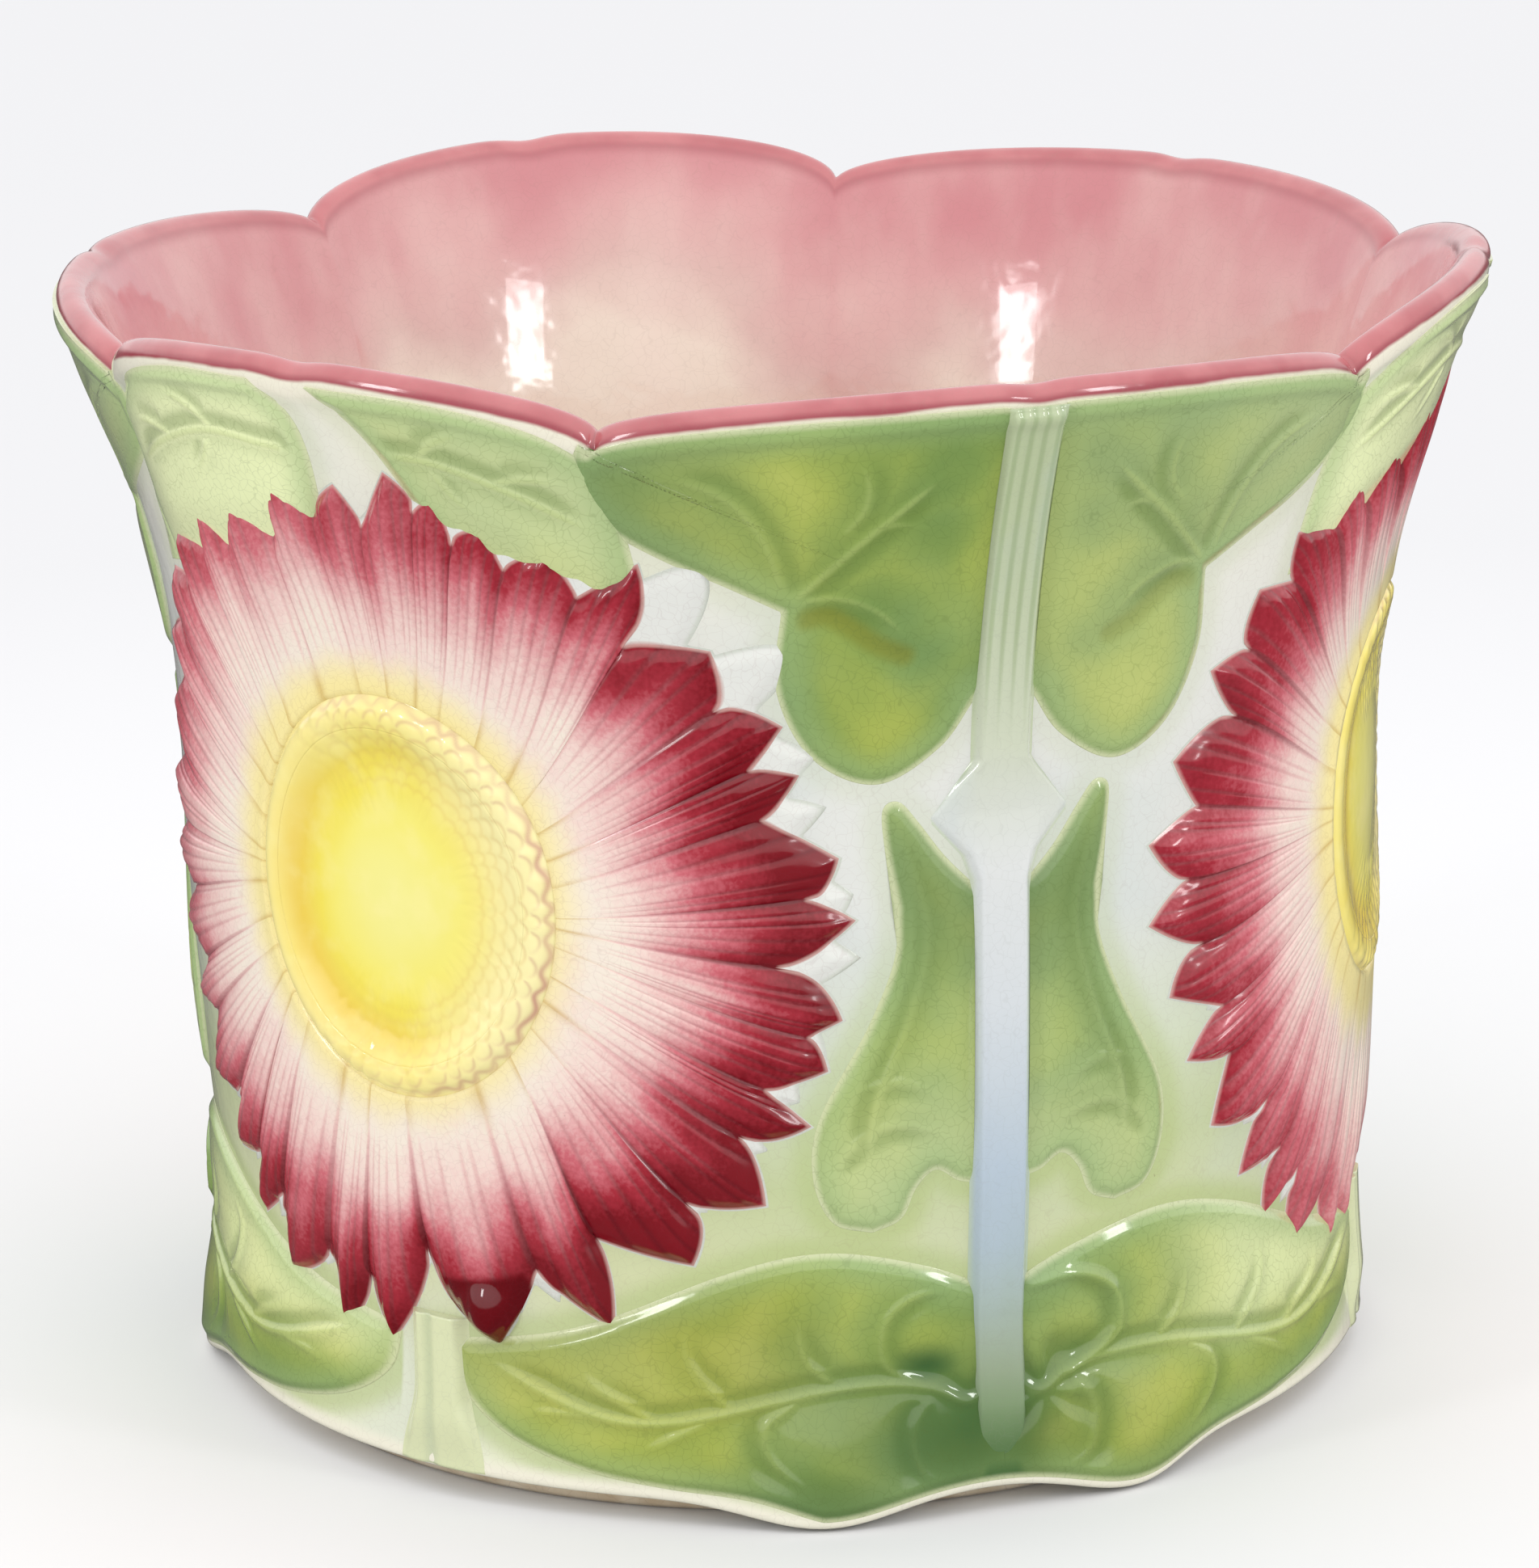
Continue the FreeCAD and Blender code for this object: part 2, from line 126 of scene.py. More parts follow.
def lobe(angle):
    """How far up its lobe of the rim an azimuth is, from 0 at the notches to 1, and that lobe's rise."""
    from_stem = nearest_turn(angle, STEM_ANGLE)
    on_stem = np.abs(from_stem) < STEM_LOBE_HALF_ANGLE
    share = np.where(
        on_stem, from_stem / STEM_LOBE_HALF_ANGLE, nearest_turn(angle, 0.0) / FLOWER_LOBE_HALF_ANGLE
    )
    return np.sqrt(np.clip(1 - share**2, 0.004, 1)), np.where(on_stem, STEM_LOBE_RISE, FLOWER_LOBE_RISE)


def lip_height(angle):
    """The rim's height at the middle of the lip, with a shallow dip in the middle of each lobe."""
    share, rise = lobe(angle)
    dip = sum(depth * hump(nearest_turn(angle, middle), 0, half) for middle, depth, half in LIP_DIPS)
    return NOTCH_HEIGHT + rise * share - dip


def foot_lobes(angle):
    """1 where the bottom leaves' lobes reach the floor, on both sides of each stem."""
    turn = nearest_turn(angle, STEM_ANGLE)
    return sum(hump(turn, middle, half) for middle, half in FOOT_LOBES)


def skirt_edge(angle):
    """The height of the wall's wavy lower edge over the floor."""
    return EDGE_LIFT - EDGE_WAVE * foot_lobes(angle)


def wall_skin(angle, height):
    """The wall's outer radius with the swelling of the lobes at the rim and at the foot."""
    share, _ = lobe(angle)
    swell = RIM_SWELL * (share - 0.75) * smooth(height, 118.0, 182.0)
    flare = FOOT_FLARE * foot_lobes(angle) * (1 - smooth(height, 0.0, 26.0))
    return wall_radius(height) + swell + flare


def lip_bead(angle, height):
    """How far the wall thickens under the lip."""
    end = lip_height(angle) - LIP_LOW - LIP_LEAN
    return LIP_BEAD * smooth(height, end - 2.0, end)


def spot(angle, radius, height):
    """Points in millimetres, one row each, from cylinder coordinates."""
    columns = np.broadcast_arrays(radius * sine(angle), -radius * cosine(angle), height)
    return np.stack(columns, axis=-1).reshape(-1, 3)


def azimuth_of(x, height, facing):
    """The azimuth of the wall behind a place in the upright plane that faces one azimuth."""
    return facing + np.degrees(np.arcsin(np.clip(x / wall_radius(height), -1, 1)))


def grid_faces(rows, columns, wrap):
    index = np.arange(rows * columns).reshape(rows, columns)
    if wrap:
        index = np.concatenate([index, index[:, :1]], axis=1)
    return np.stack([index[:-1, :-1], index[:-1, 1:], index[1:, 1:], index[1:, :-1]], axis=-1).reshape(-1, 4)


def strip_faces(first, second, wrap):
    """Quads between two rows of vertex numbers."""
    if wrap:
        first, second = np.append(first, first[0]), np.append(second, second[0])
    return np.stack([first[:-1], first[1:], second[1:], second[:-1]], axis=-1)


def fan_faces(ring, pole):
    """Triangles between a closed ring of vertex numbers and one vertex."""
    return np.stack([ring, np.roll(ring, -1), np.full(len(ring), pole)], axis=-1)


def signed_volume(points, faces):
    total = 0.0
    for face in faces:
        corners = points[face]
        for i in range(1, corners.shape[1] - 1):
            total += np.einsum("ij,ij->", corners[:, 0], np.cross(corners[:, i], corners[:, i + 1])) / 6
    return total


def make_piece(name, points, faces, marks, material, shaded=None):
    """A closed mesh from points in millimetres and arrays of faces, which stands in for the node of its name.

    marks holds one number for each point under each name, for the material to read. Only the first shaded
    arrays of faces are smooth, where that is given."""
    faces = [np.atleast_2d(face) for face in faces]
    if signed_volume(points, faces) < 0:
        faces = [face[:, ::-1] for face in faces]
    mesh = bpy.data.meshes.new("glazed_" + name)
    mesh.from_pydata((points * MM).tolist(), [], sum((face.tolist() for face in faces), []))
    for mark, values in marks.items():
        attribute = mesh.attributes.new(mark, "FLOAT", "POINT")
        attribute.data.foreach_set("value", np.ascontiguousarray(values, "f"))
    soft = sum(len(face) for face in faces[:shaded])
    mesh.polygons.foreach_set("use_smooth", np.arange(len(mesh.polygons)) < soft)
    mesh.update()
    piece = bpy.data.objects.new("glazed_" + name, mesh)
    bpy.context.collection.objects.link(piece)
    mesh.materials.append(material)
    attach(piece, "root")
    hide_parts(name)


def pointed_back(index):
    """What closes a grid whose last row is one place.

    These are the numbers of its front points and of its back points, its faces, and how many arrays of them
    are smooth."""
    rows, columns = index.shape
    pole = (rows - 1) * columns
    rings = index[np.linspace(0, rows - 2, BACK_RINGS).astype(int)]
    behind = np.arange(rings.size).reshape(rings.shape) + pole + 1
    faces = [
        grid_faces(rows - 1, columns, True),
        fan_faces(index[-2], pole),
        strip_faces(behind[0], index[0], True),
        *[strip_faces(inner, outer, True) for outer, inner in zip(behind[:-1], behind[1:])],
        fan_faces(behind[-1, ::-1], pole + 1 + rings.size),
    ]
    return np.arange(pole + 1), np.append(rings, pole), faces, 2


def ring_back(index):
    """The same for a grid that ends in a ring."""
    columns = index.shape[1]
    outer, inner = np.arange(2 * columns).reshape(2, columns) + index.size
    faces = [
        grid_faces(*index.shape, True),
        strip_faces(outer, index[0], True),
        strip_faces(index[-1], inner, True),
        strip_faces(inner, outer, True),
    ]
    return index.ravel(), np.concatenate([index[0], index[-1]]), faces, 1


def strip_back(index):
    """The same for a strip."""
    left, right = np.arange(2 * len(index)).reshape(2, -1) + index.size
    faces = [
        grid_faces(*index.shape, False),
        strip_faces(index[:, 0], left, False),
        strip_faces(left, right, False),
        strip_faces(right, index[:, -1], False),
        np.concatenate([index[0, ::-1], [left[0], right[0]]]),
        np.concatenate([index[-1], [right[-1], left[-1]]]),
    ]
    return index.ravel(), np.concatenate([index[:, 0], index[:, -1]]), faces, 1


def make_relief(kind, k, facing, x, height, relief, marks, wrap, material):
    """One ornament of a kind, from a grid of places in the plane that faces an azimuth and their reliefs.

    A grid that wraps has its outline in the first row and ends in a ring, or in a point where the last row is
    one place. One that doesn't wrap is a strip, with its sides in the first and last column."""
    angle = azimuth_of(x, height, facing)
    skin = wall_skin(angle, height) + lip_bead(angle, height)
    front = spot(angle, skin + relief, height)
    back = spot(angle, skin - SEAT_DEPTH, height)
    index = np.arange(angle.size).reshape(angle.shape)
    close = strip_back
    if wrap:
        close = pointed_back if np.ptp(front[index[-1]], axis=0).max() < SAME_PLACE else ring_back
    ahead, behind, faces, shaded = close(index)
    points = np.concatenate([front[ahead], back[behind]])
    order = np.concatenate([ahead, behind])
    marks = {mark: np.broadcast_to(values, angle.shape).ravel()[order] for mark, values in marks.items()}
    make_piece(f"{kind}_{k + 1}", points, faces, marks, material, shaded)


def colour(red, green, blue):
    """A linear colour from the 0 to 255 values that it shows on a screen."""
    shares = [v / 255 for v in (red, green, blue)]
    linear = [((s + 0.055) / 1.055) ** 2.4 if s > 0.0393 else s / 12.92 for s in shares]
    return (*linear, 1.0)


def set_stops(node, stops):
    """Give a ramp its positions and colours."""
    elements = node.color_ramp.elements
    while len(elements) < len(stops):
        elements.new(1.0)
    for element, (position, shade) in zip(elements, stops):
        element.position = position
        element.color = shade


class Glaze:
    """A fired glaze as a node material, put together socket by socket."""

    def __init__(self, name):
        self.material = bpy.data.materials.new(name)
        self.material.use_nodes = True
        self.nodes = self.material.node_tree.nodes
        self.links = self.material.node_tree.links
        self.nodes.clear()
        self.place = self.nodes.new("ShaderNodeTexCoord").outputs["Object"]

    def put(self, value, socket):
        if isinstance(value, bpy.types.NodeSocket):
            self.links.new(value, socket)
        else:
            socket.default_value = value

    def add(self, kind, inputs, **settings):
        """A new node with these settings, and these values or links on its inputs."""
        node = self.nodes.new("ShaderNode" + kind)
        for name, value in settings.items():
            setattr(node, name, value)
        for socket, value in inputs.items():
            self.put(value, node.inputs[socket])
        return node

    def mark(self, name):
        return self.add("Attribute", {}, attribute_name=name).outputs["Fac"]

    def sum(self, operation, first, second):
        return self.add("Math", {0: first, 1: second}, operation=operation).outputs[0]

    def remap(self, value, low, high, to_low=0.0, to_high=1.0):
        inputs = dict(enumerate((value, low, high, to_low, to_high)))
        return self.add("MapRange", inputs, interpolation_type="SMOOTHSTEP").outputs[0]

    def noise(self, scale, detail=3.0, stretch=None):
        """Soft unevenness between 0 and 1 with about this many spots in a metre."""
        place = self.place
        if stretch:
            place = self.add("Mapping", {"Vector": place, "Scale": stretch}).outputs["Vector"]
        return self.add("TexNoise", {"Vector": place, "Scale": scale, "Detail": detail}).outputs["Fac"]

    def craze(self, shade, scale, width, strength, tone):
        """A colour with fine cracks in another between cells, about this many of them in a metre."""
        wander = self.add("TexNoise", {"Vector": self.place, "Scale": scale / 3}).outputs["Color"]
        shift = {0: wander, 1: (2.2 / scale,) * 3, 2: self.place}
        place = self.add("VectorMath", shift, operation="MULTIPLY_ADD").outputs[0]
        cells = self.add("TexVoronoi", {"Vector": place, "Scale": scale}, feature="DISTANCE_TO_EDGE")
        crack = self.remap(cells.outputs["Distance"], 0.0, width, 1.0, 0.0)
        return self.mix(self.sum("MULTIPLY", crack, strength), shade, tone)

    def ramp(self, value, stops):
        node = self.add("ValToRGB", {"Fac": value})
        set_stops(node, [(position, colour(*shade)) for position, shade in stops])
        return node.outputs["Color"]

    def mix(self, factor, first, second):
        node = self.add("Mix", {"Factor": factor}, data_type="RGBA")
        colours = [s for s in node.inputs if s.type == "RGBA"]
        for given, socket in zip((first, second), colours):
            self.put(given if isinstance(given, bpy.types.NodeSocket) else colour(*given), socket)
        return [s for s in node.outputs if s.type == "RGBA"][0]

    def layered(self, shade, *layers):
        """A colour with others over it.

        Each comes with the value that says how far it covers, and with two spans where that is remapped."""
        for tone, value, *spans in layers:
            shade = self.mix(self.remap(value, *spans) if spans else value, shade, tone)
        return shade

    def surface(self, shade, inputs):
        """The material's shader, in this colour and with these other inputs."""
        shader = self.add("BsdfPrincipled", {"Base Color": shade, **inputs})
        self.add("OutputMaterial", {"Surface": shader.outputs["BSDF"]})

    def finish(self, shade, gloss=(0.07, 0.16), ripple=0.2, coat=0.4, wet=None):
        """The shiny coat with its faint ripple, over this colour. wet is where the glaze is smoothest."""
        shade = self.layered(shade, ((120, 96, 80), self.noise(900.0, 2.0), 0.79, 0.84, 0.0, 0.4))
        roughness = self.remap(self.noise(45.0), 0.3, 0.7, *gloss)
        if wet is not None:
            roughness = self.sum("MULTIPLY", roughness, self.remap(wet, 0.0, 1.0, 1.0, 0.2))
        bumps = {"Strength": ripple, "Distance": 0.0006, "Height": self.noise(130.0, 2.0)}
        normal = self.add("Bump", bumps).outputs["Normal"]
        glass = {"IOR": 1.5, "Coat Weight": coat, "Coat Roughness": 0.03, "Coat IOR": 1.5}
        self.surface(shade, {"Roughness": roughness, "Normal": normal, **glass})
        return self.material


WALL_COLUMNS = 720
OUTSIDE_ROWS, LIP_ROWS, INSIDE_ROWS = 130, 21, 70


def wall_glaze():
    """Rose inside, a crimson lip, and a pale ground outside, celadon low down and cream at the foot."""
    g = Glaze("wall_glaze")
    drop, rise = g.mark("drop"), g.mark("rise")
    lip_shade = g.layered(
        (172, 86, 92),
        ((198, 122, 124), g.noise(90.0), 0.3, 0.7, 0.0, 0.6),
        ((140, 36, 54), drop, 0.5, 1.7, 0.0, 0.75),
    )
    depth = g.sum("ADD", drop, g.remap(g.noise(26.0), 0.2, 0.8, -11.0, 11.0))
    rose = g.ramp(
        g.remap(depth, 0.0, 86.0),
        [
            (0.0, (196, 124, 130)), (0.12, (208, 154, 154)), (0.28, (210, 174, 168)), (0.45, (228, 212, 198)),
            (1.0, (234, 224, 208)),
        ],
    )
    rose = g.layered(
        rose,
        ((235, 216, 206), g.noise(60.0, 3.0, (1.0, 1.0, 0.25)), 0.35, 0.75, 0.0, 0.25),
        (lip_shade, drop, -0.5, 3.5, 1.0, 0.0),
    )
    ground = g.ramp(
        g.remap(rise, 0.0, 180.0),
        [
            (0.0, (226, 228, 202)), (0.1, (206, 211, 168)), (0.22, (190, 200, 154)), (0.35, (204, 212, 187)),
            (0.55, (215, 217, 212)), (0.8, (222, 222, 216)), (1.0, (230, 228, 212)),
        ],
    )
    low_down = g.remap(rise, 40.0, 120.0, 0.7, 0.2)
    ground = g.layered(
        ground,
        ((194, 204, 200), g.noise(34.0), 0.4, 0.75, 0.0, 0.35),
        ((178, 192, 130), g.sum("MULTIPLY", g.remap(g.mark("leafy"), 0.1, 1.0), low_down)),
        ((234, 230, 212), rise, 1.4, 4.0, 1.0, 0.0),
        ((230, 224, 206), drop, 3.6, 6.0, 0.85, 0.0),
    )
    lip_line = g.sum("ADD", drop, g.remap(g.noise(60.0), 0.2, 0.8, -0.3, 0.3))
    shade = g.layered(lip_shade, (ground, lip_line, 1.6, 2.3), (rose, g.mark("inside")))
    return g.finish(g.craze(shade, 620.0, 0.05, 0.1, (140, 112, 100)), ripple=0.4)


def wall_turns():
    """The azimuths of the wall's columns, closer together at the notches of the rim."""
    turns = [np.linspace(0, 360, WALL_COLUMNS, endpoint=False)]
    for side in (-1, 1):
        notch = STEM_ANGLE + side * STEM_LOBE_HALF_ANGLE
        turns += [notch + SEGMENT_ANGLE * k + np.linspace(-3, 3, 25) for k in range(SEGMENTS)]
    return np.unique(np.round(np.concatenate(turns) % 360, 4))


def make_wall():
    """The flared shell: one closed profile swept round, whose lip follows the scallops and foot the lobes."""
    turns = wall_turns()
    lip, low = lip_height(turns), skirt_edge(turns)
    half = WALL_THICKNESS / 2
    rows = []

    def add(radius, height, inside=0.0):
        rows.append((radius * np.ones_like(turns), height * np.ones_like(turns), inside))

    # the underside, from the inner corner out to the rounded edge
    add(float(wall_radius(SKIRT_HEIGHT)) - WALL_THICKNESS, SKIRT_HEIGHT)
    add(FOOT_RADIUS + 0.3, SKIRT_HEIGHT + 0.1)
    for turn in np.radians(np.linspace(-90, 0, 7)):
        height = low + EDGE_ROUND * (1 + math.sin(turn))
        add(wall_skin(turns, height) - EDGE_ROUND * (1 - math.cos(turn)), height)
    # the outside up to the lip
    start, end = low + EDGE_ROUND, lip - LIP_LOW - LIP_LEAN
    for share in np.linspace(0, 1, OUTSIDE_ROWS)[1:]:
        height = start + (end - start) * share
        add(wall_skin(turns, height) + lip_bead(turns, height), height)
    # the rounded lip
    for turn in np.linspace(0, math.pi, LIP_ROWS)[1:]:
        height = lip - LIP_LOW + LIP_UP * math.sin(turn) - LIP_LEAN * math.cos(turn)
        bead = LIP_BEAD * max(math.cos(turn), 0.0)
        add(wall_skin(turns, height) - half + half * math.cos(turn) + bead, height, float(turn > math.pi / 2))
    # the inside down to the floor slab, where the underside starts
    start = lip - LIP_LOW + LIP_LEAN
    for share in np.linspace(0, 1, INSIDE_ROWS)[1:-1]:
        height = start + (SKIRT_HEIGHT - start) * share
        add(wall_skin(turns, np.maximum(height, FLOOR_TOP)) - WALL_THICKNESS, height, 1.0)
    radius, height = (np.stack([row[i] for row in rows]) for i in (0, 1))
    index = np.arange(radius.size).reshape(radius.shape)
    faces = [grid_faces(*index.shape, True), strip_faces(index[-1], index[0], True)]
    marks = {
        "leafy": leaf_nearness(np.tile(turns, len(rows)), height.ravel()),
        "drop": (lip - height).ravel(),
        "rise": (height - low).ravel(),
        "inside": np.repeat([row[2] for row in rows], len(turns)),
    }
    make_piece("wall", spot(turns, radius, height), faces, marks, wall_glaze())


def base_glaze():
    """Peach glaze on the floor and bare fired clay under the foot."""
    g = Glaze("base_glaze")
    floor = g.layered((238, 224, 210), ((232, 210, 196), g.noise(30.0), 0.3, 0.7))
    clay = g.layered((226, 212, 188), ((206, 186, 156), g.noise(160.0, 5.0), 0.3, 0.7))
    shade = g.layered(clay, (floor, g.mark("level"), 4.0, 6.0))
    return g.finish(g.craze(shade, 300.0, 0.03, 0.2, (150, 120, 105)))


BASE_COLUMNS = 240
# radius and height of the base's profile, from the middle of its underside round to the middle of the floor
BASE_PROFILE = [
    (0, 1.2), (20, 1.2), (60, 1.2), (79, 1.2), (81, 1.0), (82.4, 0.3), (83.4, 0.0), (87.6, 0.0), (89.0, 0.35),
    (89.7, 1.1), (90.0, 2.2), (90.3, 4.1), (90.0, 7.0), (89.8, 14.5), (88.4, 14.4), (87.0, 12.9),
    (84.5, 11.7), (81.0, 11.15), (76.0, FLOOR_TOP), (50.0, FLOOR_TOP), (25.0, FLOOR_TOP), (0, FLOOR_TOP),
]


def make_base():
    """The foot, hollowed a little underneath, and the floor slab, whose glaze runs up to the wall."""
    turns = np.linspace(0, 360, BASE_COLUMNS, endpoint=False)
    rings = np.asarray(BASE_PROFILE[1:-1], float)
    index = np.arange(len(rings) * BASE_COLUMNS).reshape(len(rings), BASE_COLUMNS)
    points = np.concatenate([
        spot(turns, rings[:, :1], rings[:, 1:]),
        [(0.0, 0.0, BASE_PROFILE[0][1]), (0.0, 0.0, BASE_PROFILE[-1][1])],
    ])
    faces = [
        grid_faces(*index.shape, True),
        fan_faces(index[0, ::-1], index.size),
        fan_faces(index[-1], index.size + 1),
    ]
    make_piece("base", points, faces, {"level": points[:, 2]}, base_glaze())


def smooth_line(stops, steps=20):
    """A smooth line of places through the given ones, or a straight one between two."""
    stops = np.asarray(stops, float)
    if len(stops) == 2:
        return np.linspace(stops[0], stops[1], steps + 1)
    padded = np.concatenate([[2 * stops[0] - stops[1]], stops, [2 * stops[-1] - stops[-2]]])
    share = np.linspace(0, 1, steps, endpoint=False)[:, None]
    runs = [
        b + 0.5 * share * (c - a + share * (2 * a - 5 * b + 4 * c - d + share * (3 * b - a - 3 * c + d)))
        for a, b, c, d in zip(padded, padded[1:], padded[2:], padded[3:])
    ]
    return np.concatenate(runs + [stops[-1:]])


def evenly(line, spacing):
    """A closed line again, as places with an even spacing."""
    closed = np.concatenate([line, line[:1]])
    along = np.concatenate([[0], np.cumsum(np.hypot(*np.diff(closed, axis=0).T))])
    wanted = np.linspace(0, along[-1], int(along[-1] / spacing), endpoint=False)
    return np.stack([np.interp(wanted, along, closed[:, i]) for i in (0, 1)], axis=-1)


def gap_to(places, line):
    """How far each place in a plane is from a line, and its side of it: 1 on the left, -1 on the right."""
    nearest = np.full(len(places), np.inf)
    side = np.zeros(len(places))
    for start, end in zip(line[:-1], line[1:]):
        along, away = end - start, places - start
        share = np.clip(away @ along / max(along @ along, 1e-12), 0, 1)
        square = np.sum((away - share[:, None] * along) ** 2, axis=1)
        closer = square < nearest
        nearest[closer] = square[closer]
        side[closer] = np.sign(along[0] * away[closer, 1] - along[1] * away[closer, 0])
    return np.sqrt(nearest), side


# Each leaf's outline and veins, as shares of its width out from its inner edge and of its length up.
UPPER_LEAF = [
    [(0, 0.22), (0, 1.06)],
    [(0, 1.06), (0.45, 1.06), (0.8, 1.03), (0.97, 0.99), (1, 0.95)],
    [(1, 0.95), (1.01, 0.87), (0.98, 0.79), (0.9, 0.71), (0.78, 0.635), (0.64, 0.565), (0.5, 0.49)],
    [(0.5, 0.49), (0.5, 0.27), (0.41, 0.08), (0.25, 0), (0.09, 0.09), (0, 0.22)],
]
UPPER_VEINS = [
    [(0.5, 0.49), (0.36, 0.65), (0.25, 0.76), (0.12, 0.89)],
    [(0.5, 0.49), (0.52, 0.6), (0.58, 0.73), (0.68, 0.83), (0.85, 0.89)],
    [(0.39, 0.69), (0.33, 0.78), (0.34, 0.88), (0.41, 0.95)],
    [(0.5, 0.5), (0.4, 0.53), (0.31, 0.51), (0.24, 0.46), (0.17, 0.37)],
    [(0.34, 0.71), (0.24, 0.73), (0.14, 0.7)],
]
# the fold in the upper leaf's lower lobe
UPPER_FOLD = [(0.445, 0.47), (0.39, 0.475), (0.33, 0.44), (0.27, 0.395), (0.2, 0.36)]
MIDDLE_LEAF = [
    [(0, 0.1), (0, 0.8)],
    [(0, 0.8), (0.18, 0.87), (0.34, 0.95), (0.46, 1), (0.56, 0.985), (0.55, 0.9), (0.48, 0.76)],
    [(0.48, 0.76), (0.5, 0.64), (0.66, 0.49), (0.95, 0.28), (0.99, 0.14), (0.87, 0.03), (0.63, 0)],
    [(0.63, 0), (0.45, 0.03), (0.36, 0.1), (0.24, 0.14), (0.1, 0.11), (0, 0.1)],
]
MIDDLE_VEINS = [
    [(0.44, 0.9), (0.3, 0.7), (0.42, 0.5), (0.62, 0.3), (0.66, 0.12)],
    [(0.75, 0.34), (0.45, 0.36), (0.12, 0.29)],
    [(0.85, 0.12), (0.8, 0.2), (0.55, 0.26), (0.28, 0.24), (0.1, 0.19)],
    [(0.3, 0.7), (0.14, 0.62)],
]
BOTTOM_LEAF = [
    [(0, 0.11), (0, 0.8)],
    [(0, 0.8), (0.16, 0.93), (0.36, 1), (0.55, 0.92), (0.8, 0.69), (1, 0.58)],
    [
        (1, 0.58), (0.985, 0.4), (0.92, 0.26), (0.8, 0.17), (0.66, 0.13), (0.5, 0.1), (0.32, 0.01),
        (0.14, 0.03), (0.06, 0.07), (0, 0.11),
    ],
]
BOTTOM_VEINS = [
    [
        (0, 0.47), (0.075, 0.42), (0.145, 0.48), (0.24, 0.51), (0.35, 0.5), (0.47, 0.455), (0.66, 0.375),
        (0.79, 0.4), (0.97, 0.56),
    ],
    [(0.145, 0.48), (0.24, 0.58), (0.24, 0.74), (0.17, 0.83), (0.07, 0.82)],
    [(0.33, 0.51), (0.39, 0.6), (0.405, 0.74), (0.38, 0.86)],
    [(0.525, 0.42), (0.595, 0.56), (0.61, 0.69), (0.57, 0.8)],
    [(0.66, 0.375), (0.77, 0.5), (0.8, 0.62)],
    [(0.145, 0.47), (0.19, 0.33), (0.17, 0.17), (0.09, 0.1)],
    [(0.4, 0.48), (0.47, 0.375), (0.46, 0.25), (0.38, 0.12)],
    [(0.56, 0.41), (0.65, 0.31), (0.7, 0.25), (0.72, 0.21)],
    [(0.76, 0.39), (0.85, 0.375), (0.91, 0.32)],
]
CROWN_LEFT_LEAF = [
    [(1, -0.1), (1, 0.7)],
    [(1, 0.7), (0.8, 0.92), (0.5, 1.03), (0.14, 1.05)],
    [(0.14, 1.05), (0.03, 0.92), (0, 0.7), (0.04, 0.2)],
    [(0.04, 0.2), (1, -0.1)],
]
CROWN_RIGHT_LEAF = [
    [(1, -0.06), (1, 0.72)],
    [(1, 0.72), (0.8, 0.91), (0.45, 1.02), (0, 1.05)],
    [(0, 1.05), (0.18, 0.8), (0.38, 0.25)],
    [(0.38, 0.25), (1, -0.06)],
]
CROWN_VEINS = [
    [(0.1, 0.72), (0.4, 0.74), (0.7, 0.6), (0.95, 0.4)],
    [(0.35, 0.74), (0.5, 0.86), (0.66, 0.88)],
    [(0.6, 0.66), (0.78, 0.68), (0.92, 0.62)],
    [(0.4, 0.72), (0.48, 0.56), (0.6, 0.44)],
]

STEM_LEAF_INNER = 4.5
# the middle of the wrinkles on the bottom right leaf, in its facing plane
WRINKLES = (7.0, 19.0)
# how far the leaves stay from the lip and from the wall's lower edge
LIP_BAND = 2.4
FOOT_BAND = 1.4
LEAF_ROWS = 68
LEAF_SPACING = 0.55
# kind: outline, veins, centre as shares, lowest point, length, relief, vein depth, and the number of the edge
# that meets the stem or lies under the petals
LEAVES = {
    "upper": (UPPER_LEAF, UPPER_VEINS, (0.3, 0.6), 120.25, 58.0, 1.8, 0.5, 0),
    "middle": (MIDDLE_LEAF, MIDDLE_VEINS, (0.4, 0.4), 48.0, 69.25, 1.8, 0.4, 0),
    "bottom": (BOTTOM_LEAF, BOTTOM_VEINS, (0.4, 0.5), 0.5, 44.5, 2.2, 0.65, 0),
    "crown_left": (CROWN_LEFT_LEAF, CROWN_VEINS, (0.55, 0.6), 146.75, 34.0, 1.8, 0.4, 3),
    "crown_right": (CROWN_RIGHT_LEAF, CROWN_VEINS, (0.68, 0.6), 146.75, 34.0, 1.8, 0.4, 3),
}
# how yellow each kind of leaf is
LEAF_WARMTH = {"upper": 0.27, "middle": 0.42, "bottom": 0.42, "crown_left": 0.3, "crown_right": 0.3}
# how far from its facing plane's middle each leaf starts and ends
LEAF_SPANS = {
    **{("upper", side): (STEM_LEAF_INNER, 64.3) for side in ("left", "right")},
    **{("middle", side): (STEM_LEAF_INNER, 29.4) for side in ("left", "right")},
    ("bottom", "left"): (-0.3, 76.8),
    ("bottom", "right"): (-0.3, 81.8),
    ("crown_left", "left"): (3.0, 54.2),
    ("crown_right", "right"): (1.5, 46.0),
}


